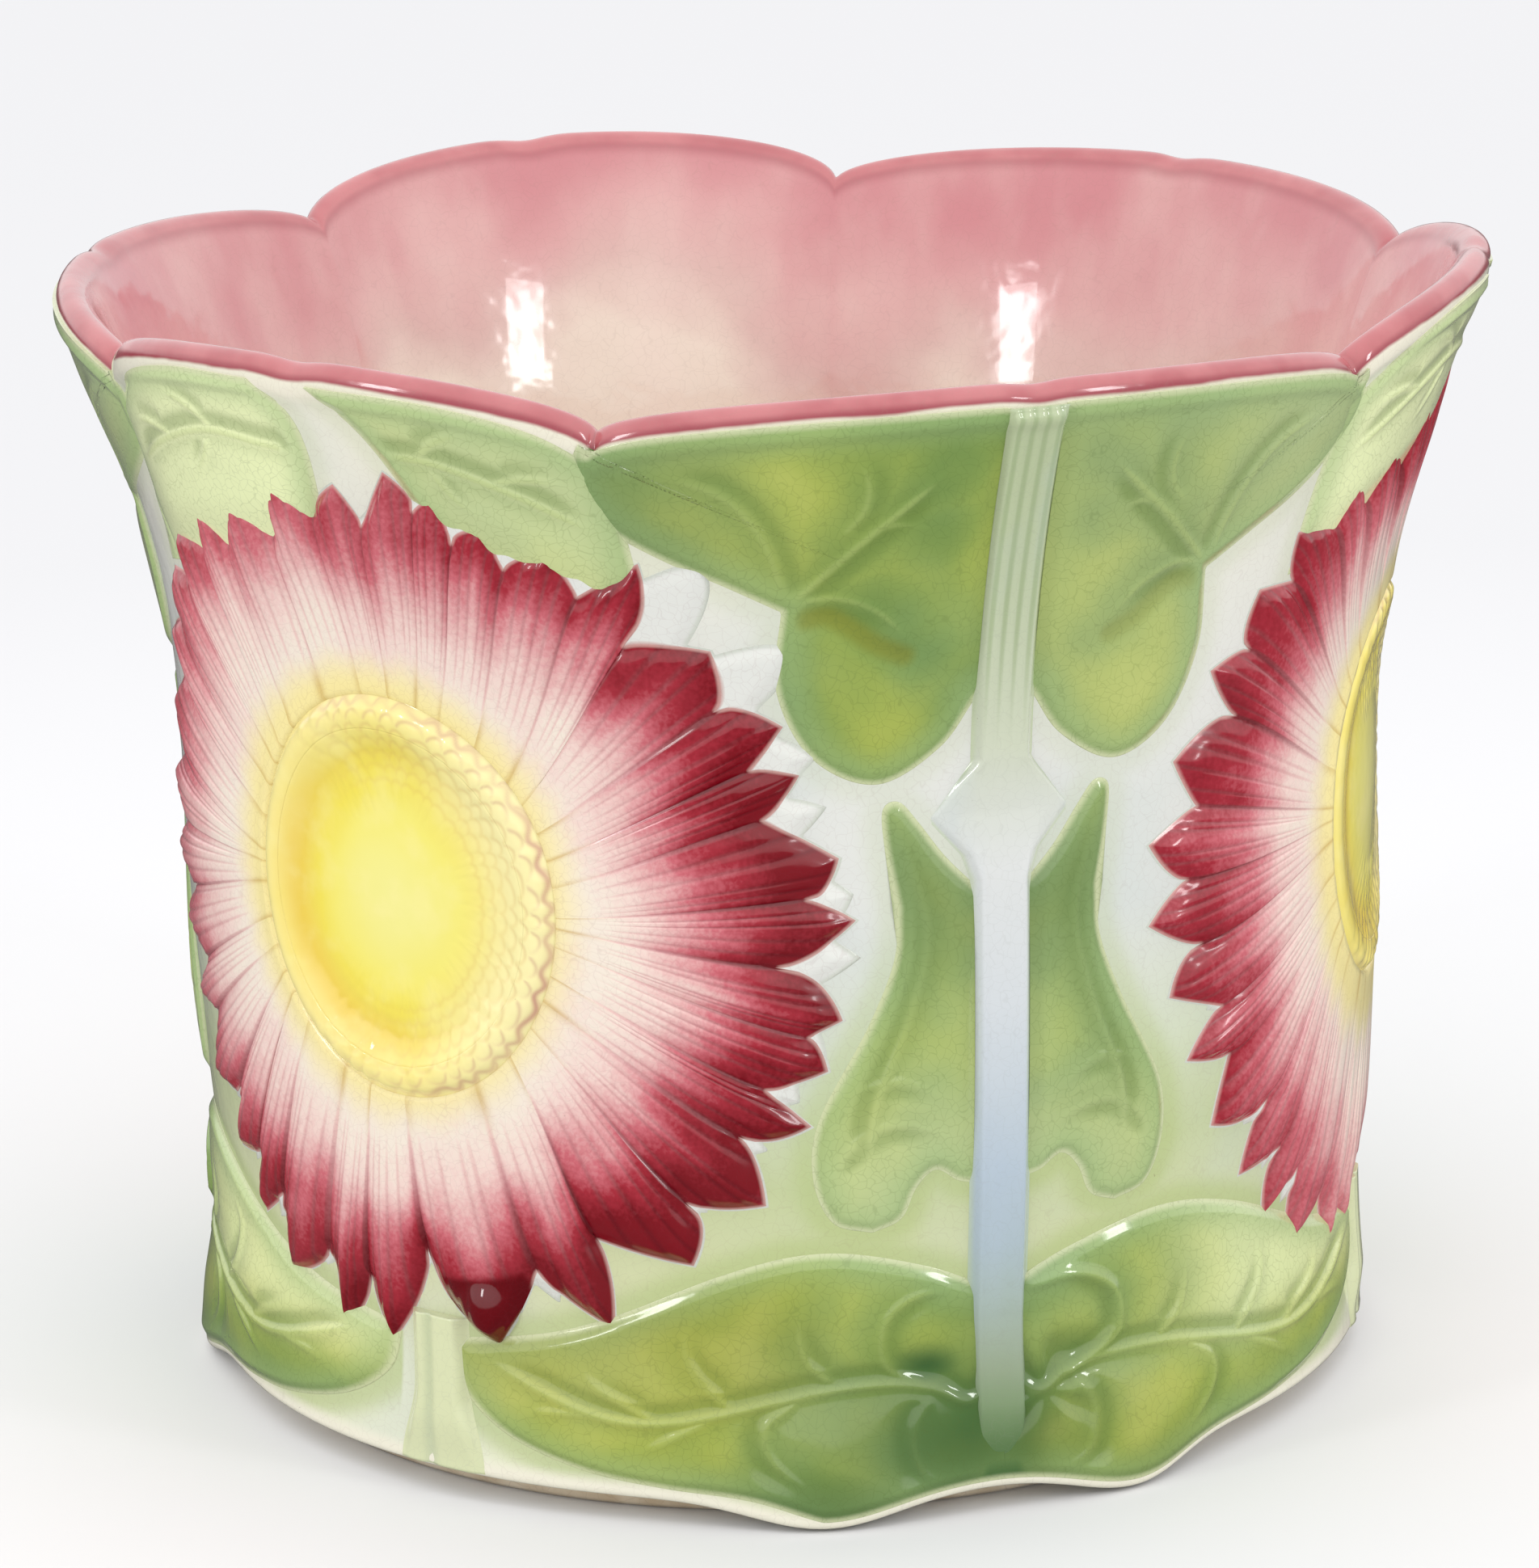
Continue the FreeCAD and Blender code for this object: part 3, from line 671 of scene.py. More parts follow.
def leaf_glaze():
    """Yellow-green on the cushions, darker where the glaze pools beside the veins, pale on the thin edge."""
    g = Glaze("leaf_glaze")
    warm = g.sum("ADD", g.mark("warm"), g.remap(g.noise(27.0), 0.3, 0.7, -0.22, 0.22))
    edge = g.mark("edge")
    shade = g.ramp(
        warm, [(0.0, (106, 136, 74)), (0.35, (132, 154, 78)), (0.68, (160, 173, 82)), (1.0, (190, 194, 100))]
    )
    shade = g.layered(
        shade,
        ((130, 165, 130), g.noise(21.0), 0.48, 0.7, 0.0, 0.32),
        ((226, 234, 182), g.mark("wash")),
        ((150, 177, 122), edge, 0.8, 7.0, 0.5, 0.0),
        ((98, 124, 56), g.mark("pool"), 0.15, 1.0, 0.0, 0.42),
        ((180, 194, 122), g.mark("ridge"), 0.3, 1.0, 0.0, 0.3),
        ((56, 94, 50), g.mark("deep")),
        ((126, 128, 40), g.mark("olive")),
        ((210, 214, 174), edge, 0.1, 1.3, 0.75, 0.0),
    )
    return g.finish(g.craze(shade, 640.0, 0.06, 0.2, (84, 104, 50)))


def placed_on_leaf(kind, side, shares):
    """Places given as shares of a leaf, in its facing plane."""
    low, length = LEAVES[kind][3:5]
    inner, reach = LEAF_SPANS[kind, side]
    out, up = np.asarray(shares, float).T
    sign = -1 if side == "left" else 1
    return np.stack([sign * (inner + out * (reach - inner)), low + up * length], axis=-1)


def leaf_lines(kind, side):
    """A leaf's edges and veins in its facing plane, with its centre and that plane's azimuth."""
    outline, veins, middle = LEAVES[kind][:3]
    facing = FLOWER_ANGLE if "crown" in kind else STEM_ANGLE
    edges = []
    for stops in outline:
        edge = smooth_line(placed_on_leaf(kind, side, stops))
        angle = azimuth_of(edge[:, 0], edge[:, 1], facing)
        edge[:, 1] = np.clip(edge[:, 1], skirt_edge(angle) + FOOT_BAND, lip_height(angle) - LIP_BAND)
        edges.append(edge)
    veins = [smooth_line(placed_on_leaf(kind, side, vein), 8) for vein in veins]
    return edges, veins, placed_on_leaf(kind, side, [middle])[0], facing


def leaf_nearness(angle, height):
    """1 beside the leaves, falling to 0 a few millimetres away, for places on the wall."""
    near = np.zeros(len(angle))
    for kind, side in LEAF_SPANS:
        edges, _, _, facing = leaf_lines(kind, side)
        turn = nearest_turn(angle, facing)
        line = np.concatenate([edge[::4] for edge in edges] + [edges[0][:1]])
        x = wall_radius(height) * sine(turn)
        places = np.stack([x, height], axis=-1)
        close = (places > line.min(axis=0) - 12).all(axis=1) & (places < line.max(axis=0) + 12).all(axis=1)
        gap, _ = gap_to(places[close], line)
        near[close] = np.maximum(near[close], hump(gap, 0, 4.0))
    return near


def vein_relief(flat, veins, sign, fade):
    """The valleys beside a leaf's veins and their ridges, from 0 to 1, and the gap to the nearest vein."""
    valley, ridge = np.zeros((2, len(flat)))
    nearest = np.full(len(flat), np.inf)
    for i, vein in enumerate(veins):
        gap, flank = gap_to(flat, vein)
        # each vein thins out towards its far end, and a side vein also where it starts
        taper = smooth(np.hypot(*(flat - vein[-1]).T) - gap, 0.0, 8.0)
        if i:
            taper *= 0.75 * smooth(np.hypot(*(flat - vein[0]).T) - gap, 0.0, 2.5)
        dip = np.maximum(0.6 * hump(gap, 0, 3.6), hump(gap * flank * sign, 1.9, 2.0) * (gap < 7))
        valley = np.maximum(valley, taper * dip * fade)
        ridge = np.maximum(ridge, taper * hump(gap, 0, 0.75) * fade)
        nearest = np.minimum(nearest, gap)
    return valley, ridge, nearest


def meet_stem(leaf, low_bed=0.3, start=-0.3):
    """Lower a leaf beside the stem to this share of its relief."""
    leaf.height *= low_bed + (1 - low_bed) * smooth(leaf.stem_gap, start, 3.2)


def shape_crown(leaf):
    """A pale leaf that goes under the petals."""
    leaf.wash += 0.55 if leaf.right else 1.0
    leaf.height *= 0.15 + 0.85 * smooth(gap_to(leaf.flat, leaf.held)[0], 1.0, 11.0)


def shape_upper(leaf):
    """A fold in the lower lobe with a pool of glaze under it."""
    meet_stem(leaf)
    outer = smooth(leaf.out, 0.3, 0.8)
    leaf.wash += 0.2 + 0.2 * outer if leaf.right else 0.1 * outer
    leaf.deep = (0.0 if leaf.right else 0.2) * smooth(leaf.out, 0.5, 0.8)
    fold, _ = gap_to(leaf.flat, smooth_line(placed_on_leaf("upper", leaf.side, UPPER_FOLD)))
    leaf.olive = (0.3 if leaf.right else 0.6) * (1 - smooth(fold, 0.5, 2.6)) * smooth(leaf.edge, 0.5, 4.0)
    leaf.height -= 0.7 * hump(fold, 0.0, 1.9) * smooth(leaf.edge, 2.0, 9.0)


def shape_middle(leaf):
    """Darker towards the tip, pale at the lower end, with faint veins."""
    meet_stem(leaf)
    leaf.deep = 0.4 * hump(leaf.up, 0.8, 0.2)
    leaf.wash += 0.12 + 0.3 * (1 - smooth(leaf.up, 0.1, 0.45))
    leaf.ridge *= 0.3


def shape_bottom(leaf):
    """Dark pools of glaze beside the stem and at the foot, and brighter cushions away from them."""
    meet_stem(leaf, 0.42, -3.5)
    stem_gap, up = leaf.stem_gap, leaf.up
    leaf.bright = 0.45 * smooth(stem_gap, 12.0, 60.0) * smooth(up, 0.2, 0.5)
    leaf.wash += (0.68 if leaf.right else 0.0) * smooth(stem_gap, 14.0, 45.0) * smooth(up, 0.3, 0.6)
    leaf.olive = (0.0 if leaf.right else 0.4) * smooth(stem_gap, 14.0, 34.0) * hump(up, 0.66, 0.28)
    dark = 0.92 - 0.45 * smooth(stem_gap, -3.0, 7.0) * leaf.right
    hollow = np.hypot(0.8 * (stem_gap - 7.0), 1.3 * (up - 0.56) * leaf.length)
    leaf.height -= 1.1 * hump(hollow, 0, 4.5)
    leaf.deep = np.maximum.reduce([
        dark * hump(stem_gap, 0.0, 22.0) * hump(up, 0.32, 0.3),
        0.7 * dark * hump(stem_gap, 22.0, 16.0) * hump(up, 0.08, 0.18),
        0.9 * (1 - smooth(np.abs(leaf.flat[:, 0]), 2.0, 7.0)) * (1 - smooth(up, 0.1, 0.4)),
        dark * hump(hollow, 0, 5.0),
    ])
    if leaf.right:
        # the curled end beside the stem, with wrinkles under it
        leaf.height += 0.9 * hump(gap_to(leaf.flat, leaf.veins[1])[0], 0, 1.2)
        across, above = (leaf.flat - WRINKLES).T
        waves = np.cos(7 * np.arctan2(above, across) + 0.5) * hump(np.hypot(across, above), 6.5, 4.0)
        leaf.height += 0.45 * waves * smooth(leaf.edge, 0.0, 4.0)


LEAF_SHAPES = {"upper": shape_upper, "middle": shape_middle, "bottom": shape_bottom, "crown": shape_crown}


def leaf_form(kind, side):
    """A leaf's grid from its outline in to its centre, in its facing plane, with its reliefs and marks."""
    low, length, relief, vein_depth, held = LEAVES[kind][3:]
    edges, veins, centre, facing = leaf_lines(kind, side)
    right = side == "right"
    border = evenly(np.concatenate([edge[:-1] for edge in edges]), LEAF_SPACING)
    inward = np.linspace(0, 1, LEAF_ROWS) ** 1.25
    places = border[None] + (centre - border)[None] * inward[:, None, None]
    flat = places.reshape(-1, 2)
    gaps = np.array([gap_to(flat, line)[0] for i, line in enumerate(edges) if i != held])
    edge = gaps.min(axis=0)
    rise = -2.0 * np.log(np.exp(-gaps / 2.0).sum(axis=0))
    valley, ridge, open_space = vein_relief(flat, veins, 1 if right else -1, smooth(edge, 0.5, 5.0))
    height = relief * (0.5 * smooth(edge, -0.2, 2.4) + 0.5 * smooth(rise, 0, 13.0))
    height += vein_depth * (0.75 * ridge - valley)
    span = LEAF_SPANS[kind, side]
    away = np.abs(flat[:, 0])
    deep, bright, wash, olive = np.zeros((4, len(flat)))
    leaf = SimpleNamespace(
        side=side, right=right, flat=flat, edge=edge, held=edges[held], veins=veins, length=length,
        stem_gap=away - STEM_LEAF_INNER, out=(away - span[0]) / np.ptp(span), up=(flat[:, 1] - low) / length,
        height=height, ridge=ridge, deep=deep, bright=bright, wash=wash, olive=olive,
    )
    LEAF_SHAPES[kind.split("_")[0]](leaf)
    shape = places.shape[:2]
    marks = {
        "edge": edge,
        "pool": np.clip(valley - leaf.ridge, 0, 1),
        "ridge": leaf.ridge,
        "warm": LEAF_WARMTH[kind] + leaf.bright + 0.3 * smooth(open_space, 1.0, 8.0) * smooth(edge, 1.0, 9.0),
        "deep": leaf.deep,
        "wash": leaf.wash,
        "olive": leaf.olive,
    }
    marks = {mark: values.reshape(shape) for mark, values in marks.items()}
    return places[..., 0], places[..., 1], leaf.height.reshape(shape), marks, facing


def make_leaves():
    material = leaf_glaze()
    for kind, side in LEAF_SPANS:
        x, z, height, marks, facing = leaf_form(kind, side)
        name = kind.split("_")[0] + "_leaf_" + side
        for k in range(SEGMENTS):
            turned = facing + SEGMENT_ANGLE * k
            make_relief(name, k, turned, x, z, height, marks, True, material)


STEM_LOW, STEM_TOP = 7.0, 180.2
STEM_HALF_WIDTH = 5.0
STEM_RELIEF = 1.6
NODE_HEIGHT = 114.5
NODE_HALF_WIDTH = 12.0
STALK_LOW, STALK_TOP = 5.0, 30.0
STALK_RELIEF = 1.8
# the part of the stem's colours that the stalks show
STALK_LEVEL = 138.0


def stem_glaze():
    """White at the node, pale blue below it and pale green with fine lines above, darker at the foot."""
    g = Glaze("stem_glaze")
    level = g.sum("ADD", g.mark("level"), g.remap(g.noise(40.0), 0.2, 0.8, -1.5, 1.5))
    streaks = g.remap(g.noise(70.0, 3.0, (1.0, 1.0, 0.12)), 0.45, 0.7, 0.0, 0.4)
    shade = g.ramp(
        g.remap(level, 0.0, 180.0),
        [
            (0.009, (86, 116, 70)), (0.017, (106, 132, 90)), (0.028, (128, 149, 113)),
            (0.045, (146, 161, 134)), (0.065, (154, 168, 148)), (0.098, (163, 179, 169)),
            (0.15, (168, 184, 189)), (0.24, (178, 192, 203)), (0.45, (206, 211, 214)),
            (0.64, (214, 216, 214)), (0.78, (200, 206, 184)), (1.0, (178, 190, 152)),
        ],
    )
    shade = g.layered(
        shade,
        ((150, 168, 124), g.mark("groove"), 0.35, 1.0, 0.0, 0.6),
        ((176, 190, 208), g.sum("MULTIPLY", streaks, g.remap(level, 20.0, 55.0))),
        ((190, 204, 158), g.mark("edge"), 0.1, 0.9, 0.5, 0.0),
        ((64, 100, 56), level, 5.0, 11.0, 0.8, 0.0),
        ((212, 217, 176), g.mark("pale")),
    )
    return g.finish(g.craze(shade, 620.0, 0.05, 0.1, (140, 140, 130)))


def make_stems(material):
    """The upright stems, ribbed towards the rim, each with a pointed node."""
    heights = np.linspace(STEM_LOW, STEM_TOP, 330)
    wing = np.interp(heights, [104.0, 108.0, NODE_HEIGHT, 119.5, 123.0], [0.0, 0.2, 1.0, 0.45, 0.0])
    half = STEM_HALF_WIDTH + (NODE_HALF_WIDTH - STEM_HALF_WIDTH) * wing
    across = np.sin(np.linspace(-math.pi / 2, math.pi / 2, 49))
    x = half[:, None] * across[None, :]
    z = heights[:, None] * np.ones_like(across)
    edge = half[:, None] - np.abs(x)
    ribbed = smooth(z, 112.0, 150.0) * smooth(edge, 0.6, 1.6)
    groove = 0.5 - 0.5 * np.cos(2 * math.pi * (x / 2.1 + 0.12 * np.sin(z / 17.0)))
    fold = hump(np.abs(x) - STEM_HALF_WIDTH - (122.5 - z) * 0.8, 0, 0.7)
    fold *= smooth(z, 112.0, 116.0) * (1 - smooth(z, 121.0, 124.0))
    # both ends sink into the wall, the lower one with a rounded tip
    ends = smooth(z - 0.14 * x**2, STEM_LOW - 2.0, STEM_LOW + 10.0)
    ends *= 1 - 0.8 * smooth(z, STEM_TOP - 2.0, STEM_TOP)
    relief = STEM_RELIEF * smooth(edge, -0.1, 1.8 + 3.0 * wing[:, None]) * ends * (1 - 0.5 * wing[:, None])
    relief += 0.2 * hump(edge, 1.5, 0.8) * ends - 0.25 * groove * ribbed - 0.4 * fold
    groove = np.maximum(groove * (0.2 + 0.8 * ribbed), fold)
    marks = {"level": z, "edge": edge, "groove": groove, "pale": 0.0}
    for k in range(SEGMENTS):
        facing = STEM_ANGLE + SEGMENT_ANGLE * k
        make_relief("stem", k, facing, x, z, relief, marks, False, material)


def make_stalks(material):
    """The short stalk under each flower, which spreads towards the foot."""
    heights = np.linspace(STALK_LOW, STALK_TOP, 60)
    middle = 3.2 - 0.03 * (heights - STALK_LOW)
    half = 5.6 + 2.6 * (1 - smooth(heights, STALK_LOW, 18.0))
    across = np.sin(np.linspace(-math.pi / 2, math.pi / 2, 41))
    x = middle[:, None] + half[:, None] * across[None, :]
    z = heights[:, None] * np.ones_like(across)
    edge = half[:, None] * (1 - np.abs(across))[None, :]
    groove = hump(across, -0.25, 0.14)[None, :] * np.ones_like(x)
    relief = STALK_RELIEF * smooth(edge, -0.1, 2.4) * (0.2 + 0.8 * smooth(z, STALK_LOW, 14.0)) - 0.5 * groove
    marks = {"level": STALK_LEVEL + z, "edge": edge, "groove": 0.0, "pale": 0.95 - 0.5 * groove}
    for k in range(SEGMENTS):
        make_relief("flower_stalk", k, flower_azimuth(k), x, z, relief, marks, False, material)


FLOWER_HEIGHT = 99.0
RING_RADIUS = 34.0
DISC_RADIUS = 28.0
# how much narrower and lower the ring is than a round one
DISC_WIDTH, DISC_HEIGHT = 0.86, 0.97
# the second flower sits a little nearer to the stem on its left
FLOWER_SHIFTS = (0.0, -4.3, 0.0)
# and its ring came out of the mould lower
DISC_RISES = (1.0, 0.3, 1.0)
# how far out on the scale of its colours each disc's edge lies
DISC_PALING = (1.0, 0.84, 1.0)
# the petals' tips: angle in the flower's plane from its right side, and reach from its centre
PETAL_TIPS = [
    (-174, 68), (-163, 67), (-153, 68), (-142, 70), (-132, 72), (-123, 75), (-115, 78), (-104, 78),
    (-95.5, 76), (-79, 73.5), (-64, 75), (-51, 72), (-39.5, 72), (-28, 70), (-20.5, 68.5), (-13.5, 68),
    (0, 68), (8.5, 67), (20.5, 66.5), (27, 68.5), (39, 69), (51, 74), (60, 68), (68, 67), (75, 69),
    (81.5, 71), (90, 67), (101, 68), (113, 66), (122.5, 68.5), (133, 70), (141, 69), (152, 68),
    (164, 67), (175, 68),
]
# white leaves of the calyx that show between the petals and the upper leaf: angle, reach, half-width
SEPALS = [(46.0, 79.0, 6.5), (34.5, 77.0, 6.0), (58.0, 73.0, 5.0)]
SEPAL_FOOT = 60.0
# how far the calyx is turned against the petals
BACK_TURN = 5.0
# the drop of thick glaze on the first flower: its place from the flower's centre, its radius and thickness,
# and the angle of the petal that carries it
DROP_PLACE = (12.8, -67.0)
DROP_RADIUS, DROP_THICKNESS = 5.8, 2.3
DROP_TURN = -79.0
# the side of each flower on which its petals are darkest, the tint of the tips on the other side, and how
# strong the colour is
FLOWER_TINTS = [(-32.0, 0.76, 1.0), (150.0, 0.68, 0.84), (-32.0, 0.76, 1.0)]
PETAL_COLUMNS = 40


def petal_glaze():
    """White round the disc, through rose to crimson tips, with fine grooves and a pale thin edge."""
    g = Glaze("petal_glaze")
    tint = g.sum("ADD", g.mark("tint"), g.remap(g.noise(75.0), 0.2, 0.8, -0.1, 0.1))
    tint = g.sum("ADD", tint, g.remap(g.noise(1300.0, 1.0), 0.25, 0.75, -0.035, 0.035))
    shade = g.ramp(
        tint,
        [
            (0.0, (234, 222, 207)), (0.2, (232, 205, 196)), (0.42, (218, 160, 160)), (0.6, (198, 102, 112)),
            (0.8, (160, 40, 54)), (1.0, (122, 10, 24)),
        ],
    )
    line = g.mix(tint, (222, 158, 160), (88, 6, 18))
    calyx = g.layered((219, 220, 214), ((176, 184, 166), g.mark("foot"), 0.1, 0.9, 0.5, 0.0))
    shade = g.layered(
        shade,
        (line, g.mark("groove"), 0.2, 1.0, 0.0, 0.55),
        ((240, 224, 140), g.mark("near"), 0.0, 0.24, 0.8, 0.0),
        ((190, 146, 52), g.sum("MULTIPLY", g.mark("stroke"), 0.6)),
        ((226, 190, 180), g.mark("edge"), 0.05, 0.6, 0.55, 0.0),
        (calyx, g.mark("back")),
        ((96, 4, 14), g.mark("pool")),
    )
    shade = g.craze(shade, 700.0, 0.06, 0.1, (120, 40, 50))
    return g.finish(shade, gloss=(0.14, 0.26), coat=0.2, wet=g.mark("pool"))


def ring_reach(turn):
    """The ring's outer radius in a direction in the flower's plane."""
    return RING_RADIUS / np.hypot(cosine(turn) / DISC_WIDTH, sine(turn) / DISC_HEIGHT)


def flower_azimuth(k):
    return FLOWER_ANGLE + SEGMENT_ANGLE * k + FLOWER_SHIFTS[k]


def petal_columns():
    """The angle, reach and place across its petal of each column of the flower's grid."""
    tips = np.asarray(PETAL_TIPS, float)
    count = len(tips)
    after = np.roll(tips, -1, axis=0)
    after[-1, 0] += 360
    spacing = after[:, 0] - tips[:, 0]
    order = np.arange(count)
    valley = tips[:, 0] + spacing * (0.5 + 0.12 * np.sin(2.3 * order))
    low_side = hump(tips[:, 0], -100, 45)
    depth = np.minimum(tips[:, 1], after[:, 1]) - 4.2 - 0.5 * np.maximum(spacing - 7, 0) - 5.0 * low_side
    depth += 1.3 * np.sin(3.7 * order)
    angles, reaches, across, number = [], [], [], []
    side = np.linspace(-1, 1, PETAL_COLUMNS, endpoint=False)
    for i in range(count):
        left_angle = valley[i - 1] - (360 if i == 0 else 0)
        low = np.where(side < 0, depth[i - 1], depth[i])
        span = np.where(side < 0, tips[i, 0] - left_angle, valley[i] - tips[i, 0])
        angles.append(tips[i, 0] + side * span)
        hook = 0.3 * math.sin(4.7 * i)
        reaches.append(low + (tips[i, 1] - low) * (1 - np.abs(side)) ** (0.75 - hook * np.sign(side)))
        across.append(side)
        number.append(np.full(PETAL_COLUMNS, i))
    return tuple(np.concatenate(values) for values in (angles, reaches, across, number))


def calyx_border(turn, reach):
    """How far the calyx behind the petals reaches, and at least as far as they do."""
    rightness = smooth(cosine(turn), -0.1, 0.35)
    back = np.interp(turn + BACK_TURN, turn, reach, period=360) + 1.2 - 7 * (1 - rightness)
    back -= 8.0 * hump(turn, -62, 34)
    for angle, length, half in SEPALS:
        share = np.clip(np.abs(turn - angle) / half, 0, 1)
        bulge = np.sqrt(0.5 + 0.5 * np.cos(math.pi * share))
        back = np.maximum(back, SEPAL_FOOT + (length - SEPAL_FOOT) * bulge)
    return np.maximum(reach + 0.4, back)


def flower_form():
    """One flower's rosette as a grid from its outline in to the ring, with its reliefs and marks."""
    turn, reach, across, number = petal_columns()
    outer = calyx_border(turn, reach)
    bend = 9.0 * np.sin(2 * np.radians(turn)) + 2.6 * sine(8 * turn + 20)
    inner = ring_reach(turn - bend)
    behind = np.linspace(1, 0, 14, endpoint=False)[:, None]
    ahead = np.concatenate([np.linspace(0, 0.3, 32, endpoint=False), np.linspace(0.3, 1, 32)])[:, None]
    radius = np.concatenate([reach + (outer - reach) * behind, reach + (inner - 1.2 - reach) * ahead])
    share = np.clip((radius - inner[None]) / (reach - inner)[None], 0, 1.2)
    angle = np.radians(turn[None] - bend[None] * np.clip(1 - share, 0, 1) ** 1.5)
    x, z = radius * np.cos(angle), FLOWER_HEIGHT + radius * np.sin(angle)
    flat = np.stack([x, z - FLOWER_HEIGHT], axis=-1).reshape(-1, 2)
    shape = radius.shape

    def border_gap(border):
        line = np.stack([border * cosine(turn), border * sine(turn)], axis=-1)[::2]
        return gap_to(flat, np.concatenate([line, line[:1]]))[0].reshape(shape)

    on_front = np.broadcast_to(np.arange(len(radius))[:, None] >= len(behind), shape)
    edge = np.where(on_front, border_gap(reach), 0)
    foot = border_gap(outer)
    grown = smooth(share, 0.05, 0.75)
    t = across[None]
    phase = 2 * math.pi * (number * 0.37 % 1)[None]
    lines = np.zeros_like(t)
    for i, place in enumerate((-0.62, -0.25, 0.16, 0.56)):
        lines = np.maximum(lines, hump(t, place + 0.1 * np.sin(phase * (i + 2)), 0.07))
    seam = np.maximum(hump(t, 1, 0.09), hump(t, -1, 0.09))
    seam_end = np.maximum(hump(t, 1, 0.2), hump(t, -1, 0.2))
    step = 0.8 * smooth(foot, -0.05, 2.6)
    full = 1.5 + 0.3 * share - 0.6 * smooth(share, 0.65, 1.0)
    front = step + (full - step) * smooth(edge, -0.2, 4.0)
    front += grown * smooth(edge, 0, 2.6) * (0.65 * (1 - t**2) + 0.3 * t - 0.24 * lines)
    # the petals rise a little to the ring on its plain side, and their ends go under it
    from_ring = radius - inner
    front += 0.35 * (1 - smooth(from_ring, -0.8, 3.2)) * smooth(-cosine(turn), 0.1, 0.7)
    front -= 1.3 * (1 - smooth(from_ring, -1.3, -0.2))
    height = np.where(on_front, front, step)
    streak = 0.6 * np.cos(6.5 * t + phase) + 0.4 * np.cos(13.0 * t + 3 * phase)
    marks = {
        "ripe": share + 0.04 * streak * grown + 0.06 * np.sin(5 * phase),
        "near": share,
        "stroke": seam_end * hump(share, 0.05, 0.13) * (0.5 + 0.5 * np.sin(2.1 * number))[None],
        "reach": radius,
        "groove": np.maximum(seam, 0.8 * lines) * smooth(share, 0.0, 0.35),
        "edge": edge,
        "foot": foot,
        "back": np.where(on_front, 0, 1),
    }
    return x, z, height, marks, turn


def petal_tint(ripe, turn, dark_turn, pale, strength):
    """How far each place has turned from white to crimson, sooner on the flower's dark side."""
    darkness = 0.5 + 0.5 * cosine(turn - dark_turn)
    dark_side = smooth(ripe, 0.06, 0.98)
    pale_side = pale * smooth(ripe, 0.1, 1.1)
    tint = pale_side + (dark_side - pale_side) * smooth(darkness, 0.2, 0.8)
    return strength * tint, darkness


def make_petals():
    material = petal_glaze()
    x, z, height, marks, turn = flower_form()
    ripe, reach = marks.pop("ripe"), marks.pop("reach")
    for k in range(SEGMENTS):
        tint, darkness = petal_tint(ripe, turn, *FLOWER_TINTS[k])
        # a drop of thick glaze has run to one tip of the first flower
        wide = (1 - smooth(np.abs(turn - DROP_TURN), 6.5, 7.8)) * (1 - marks["back"]) * (k == 0)
        dark_tip = wide * smooth(reach, 61.5, 63.0)
        from_drop = np.hypot(x - DROP_PLACE[0], z - FLOWER_HEIGHT - DROP_PLACE[1])
        plump = DROP_THICKNESS * wide * np.clip(1 - (from_drop / DROP_RADIUS) ** 2, 0, 1) ** 1.4
        near = marks["near"] + 0.12 * darkness - 0.04 - 0.1 * (k == 1)
        given = dict(marks, tint=tint, near=near, pool=dark_tip)
        relief = height + plump
        make_relief("flower_petals", k, flower_azimuth(k), x, z, relief, given, True, material)


def disc_glaze():
    """Yellow with a paler middle and mauve strokes on the outer scales, with painted shade in amber on the
    dish's lower left slope and painted light on its right side.
    """
    g = Glaze("disc_glaze")
    radius = g.sum("ADD", g.mark("radius"), g.remap(g.noise(60.0), 0.2, 0.8, -2.0, 2.0))
    shade = g.ramp(
        g.remap(radius, 0.0, RING_RADIUS),
        [
            (0.0, (235, 229, 142)), (0.35, (236, 226, 116)), (0.58, (234, 218, 88)), (0.78, (230, 210, 92)),
            (0.88, (238, 223, 126)), (1.0, (240, 225, 150)),
        ],
    )
    shade = g.layered(
        shade,
        # painted light: paler on the right side of the disc, over the shade on its scales
        ((242, 233, 178), g.mark("painted_light_right")),
        # painted shade: amber on the lower left inner slope of the dish
        ((226, 174, 60), g.mark("painted_slope_shade")),
        ((242, 232, 160), g.noise(140.0), 0.45, 0.75, 0.0, 0.35),
        ((214, 176, 96), g.mark("scale")),
        ((186, 116, 116), g.mark("loop")),
    )
    return g.finish(shade)


# the rows of scales on the disc: radius to their outer end, and how strongly their strokes are painted
SCALE_ROWS = [(33.4, 0.35), (31.2, 0.35), (28.9, 0.12), (26.5, 0.05), (24.1, 0.0), (21.7, 0.0), (19.3, 0.0)]
SCALES_AROUND = 44
CREST_RADIUS = 29.6
DISC_COLUMNS = 540


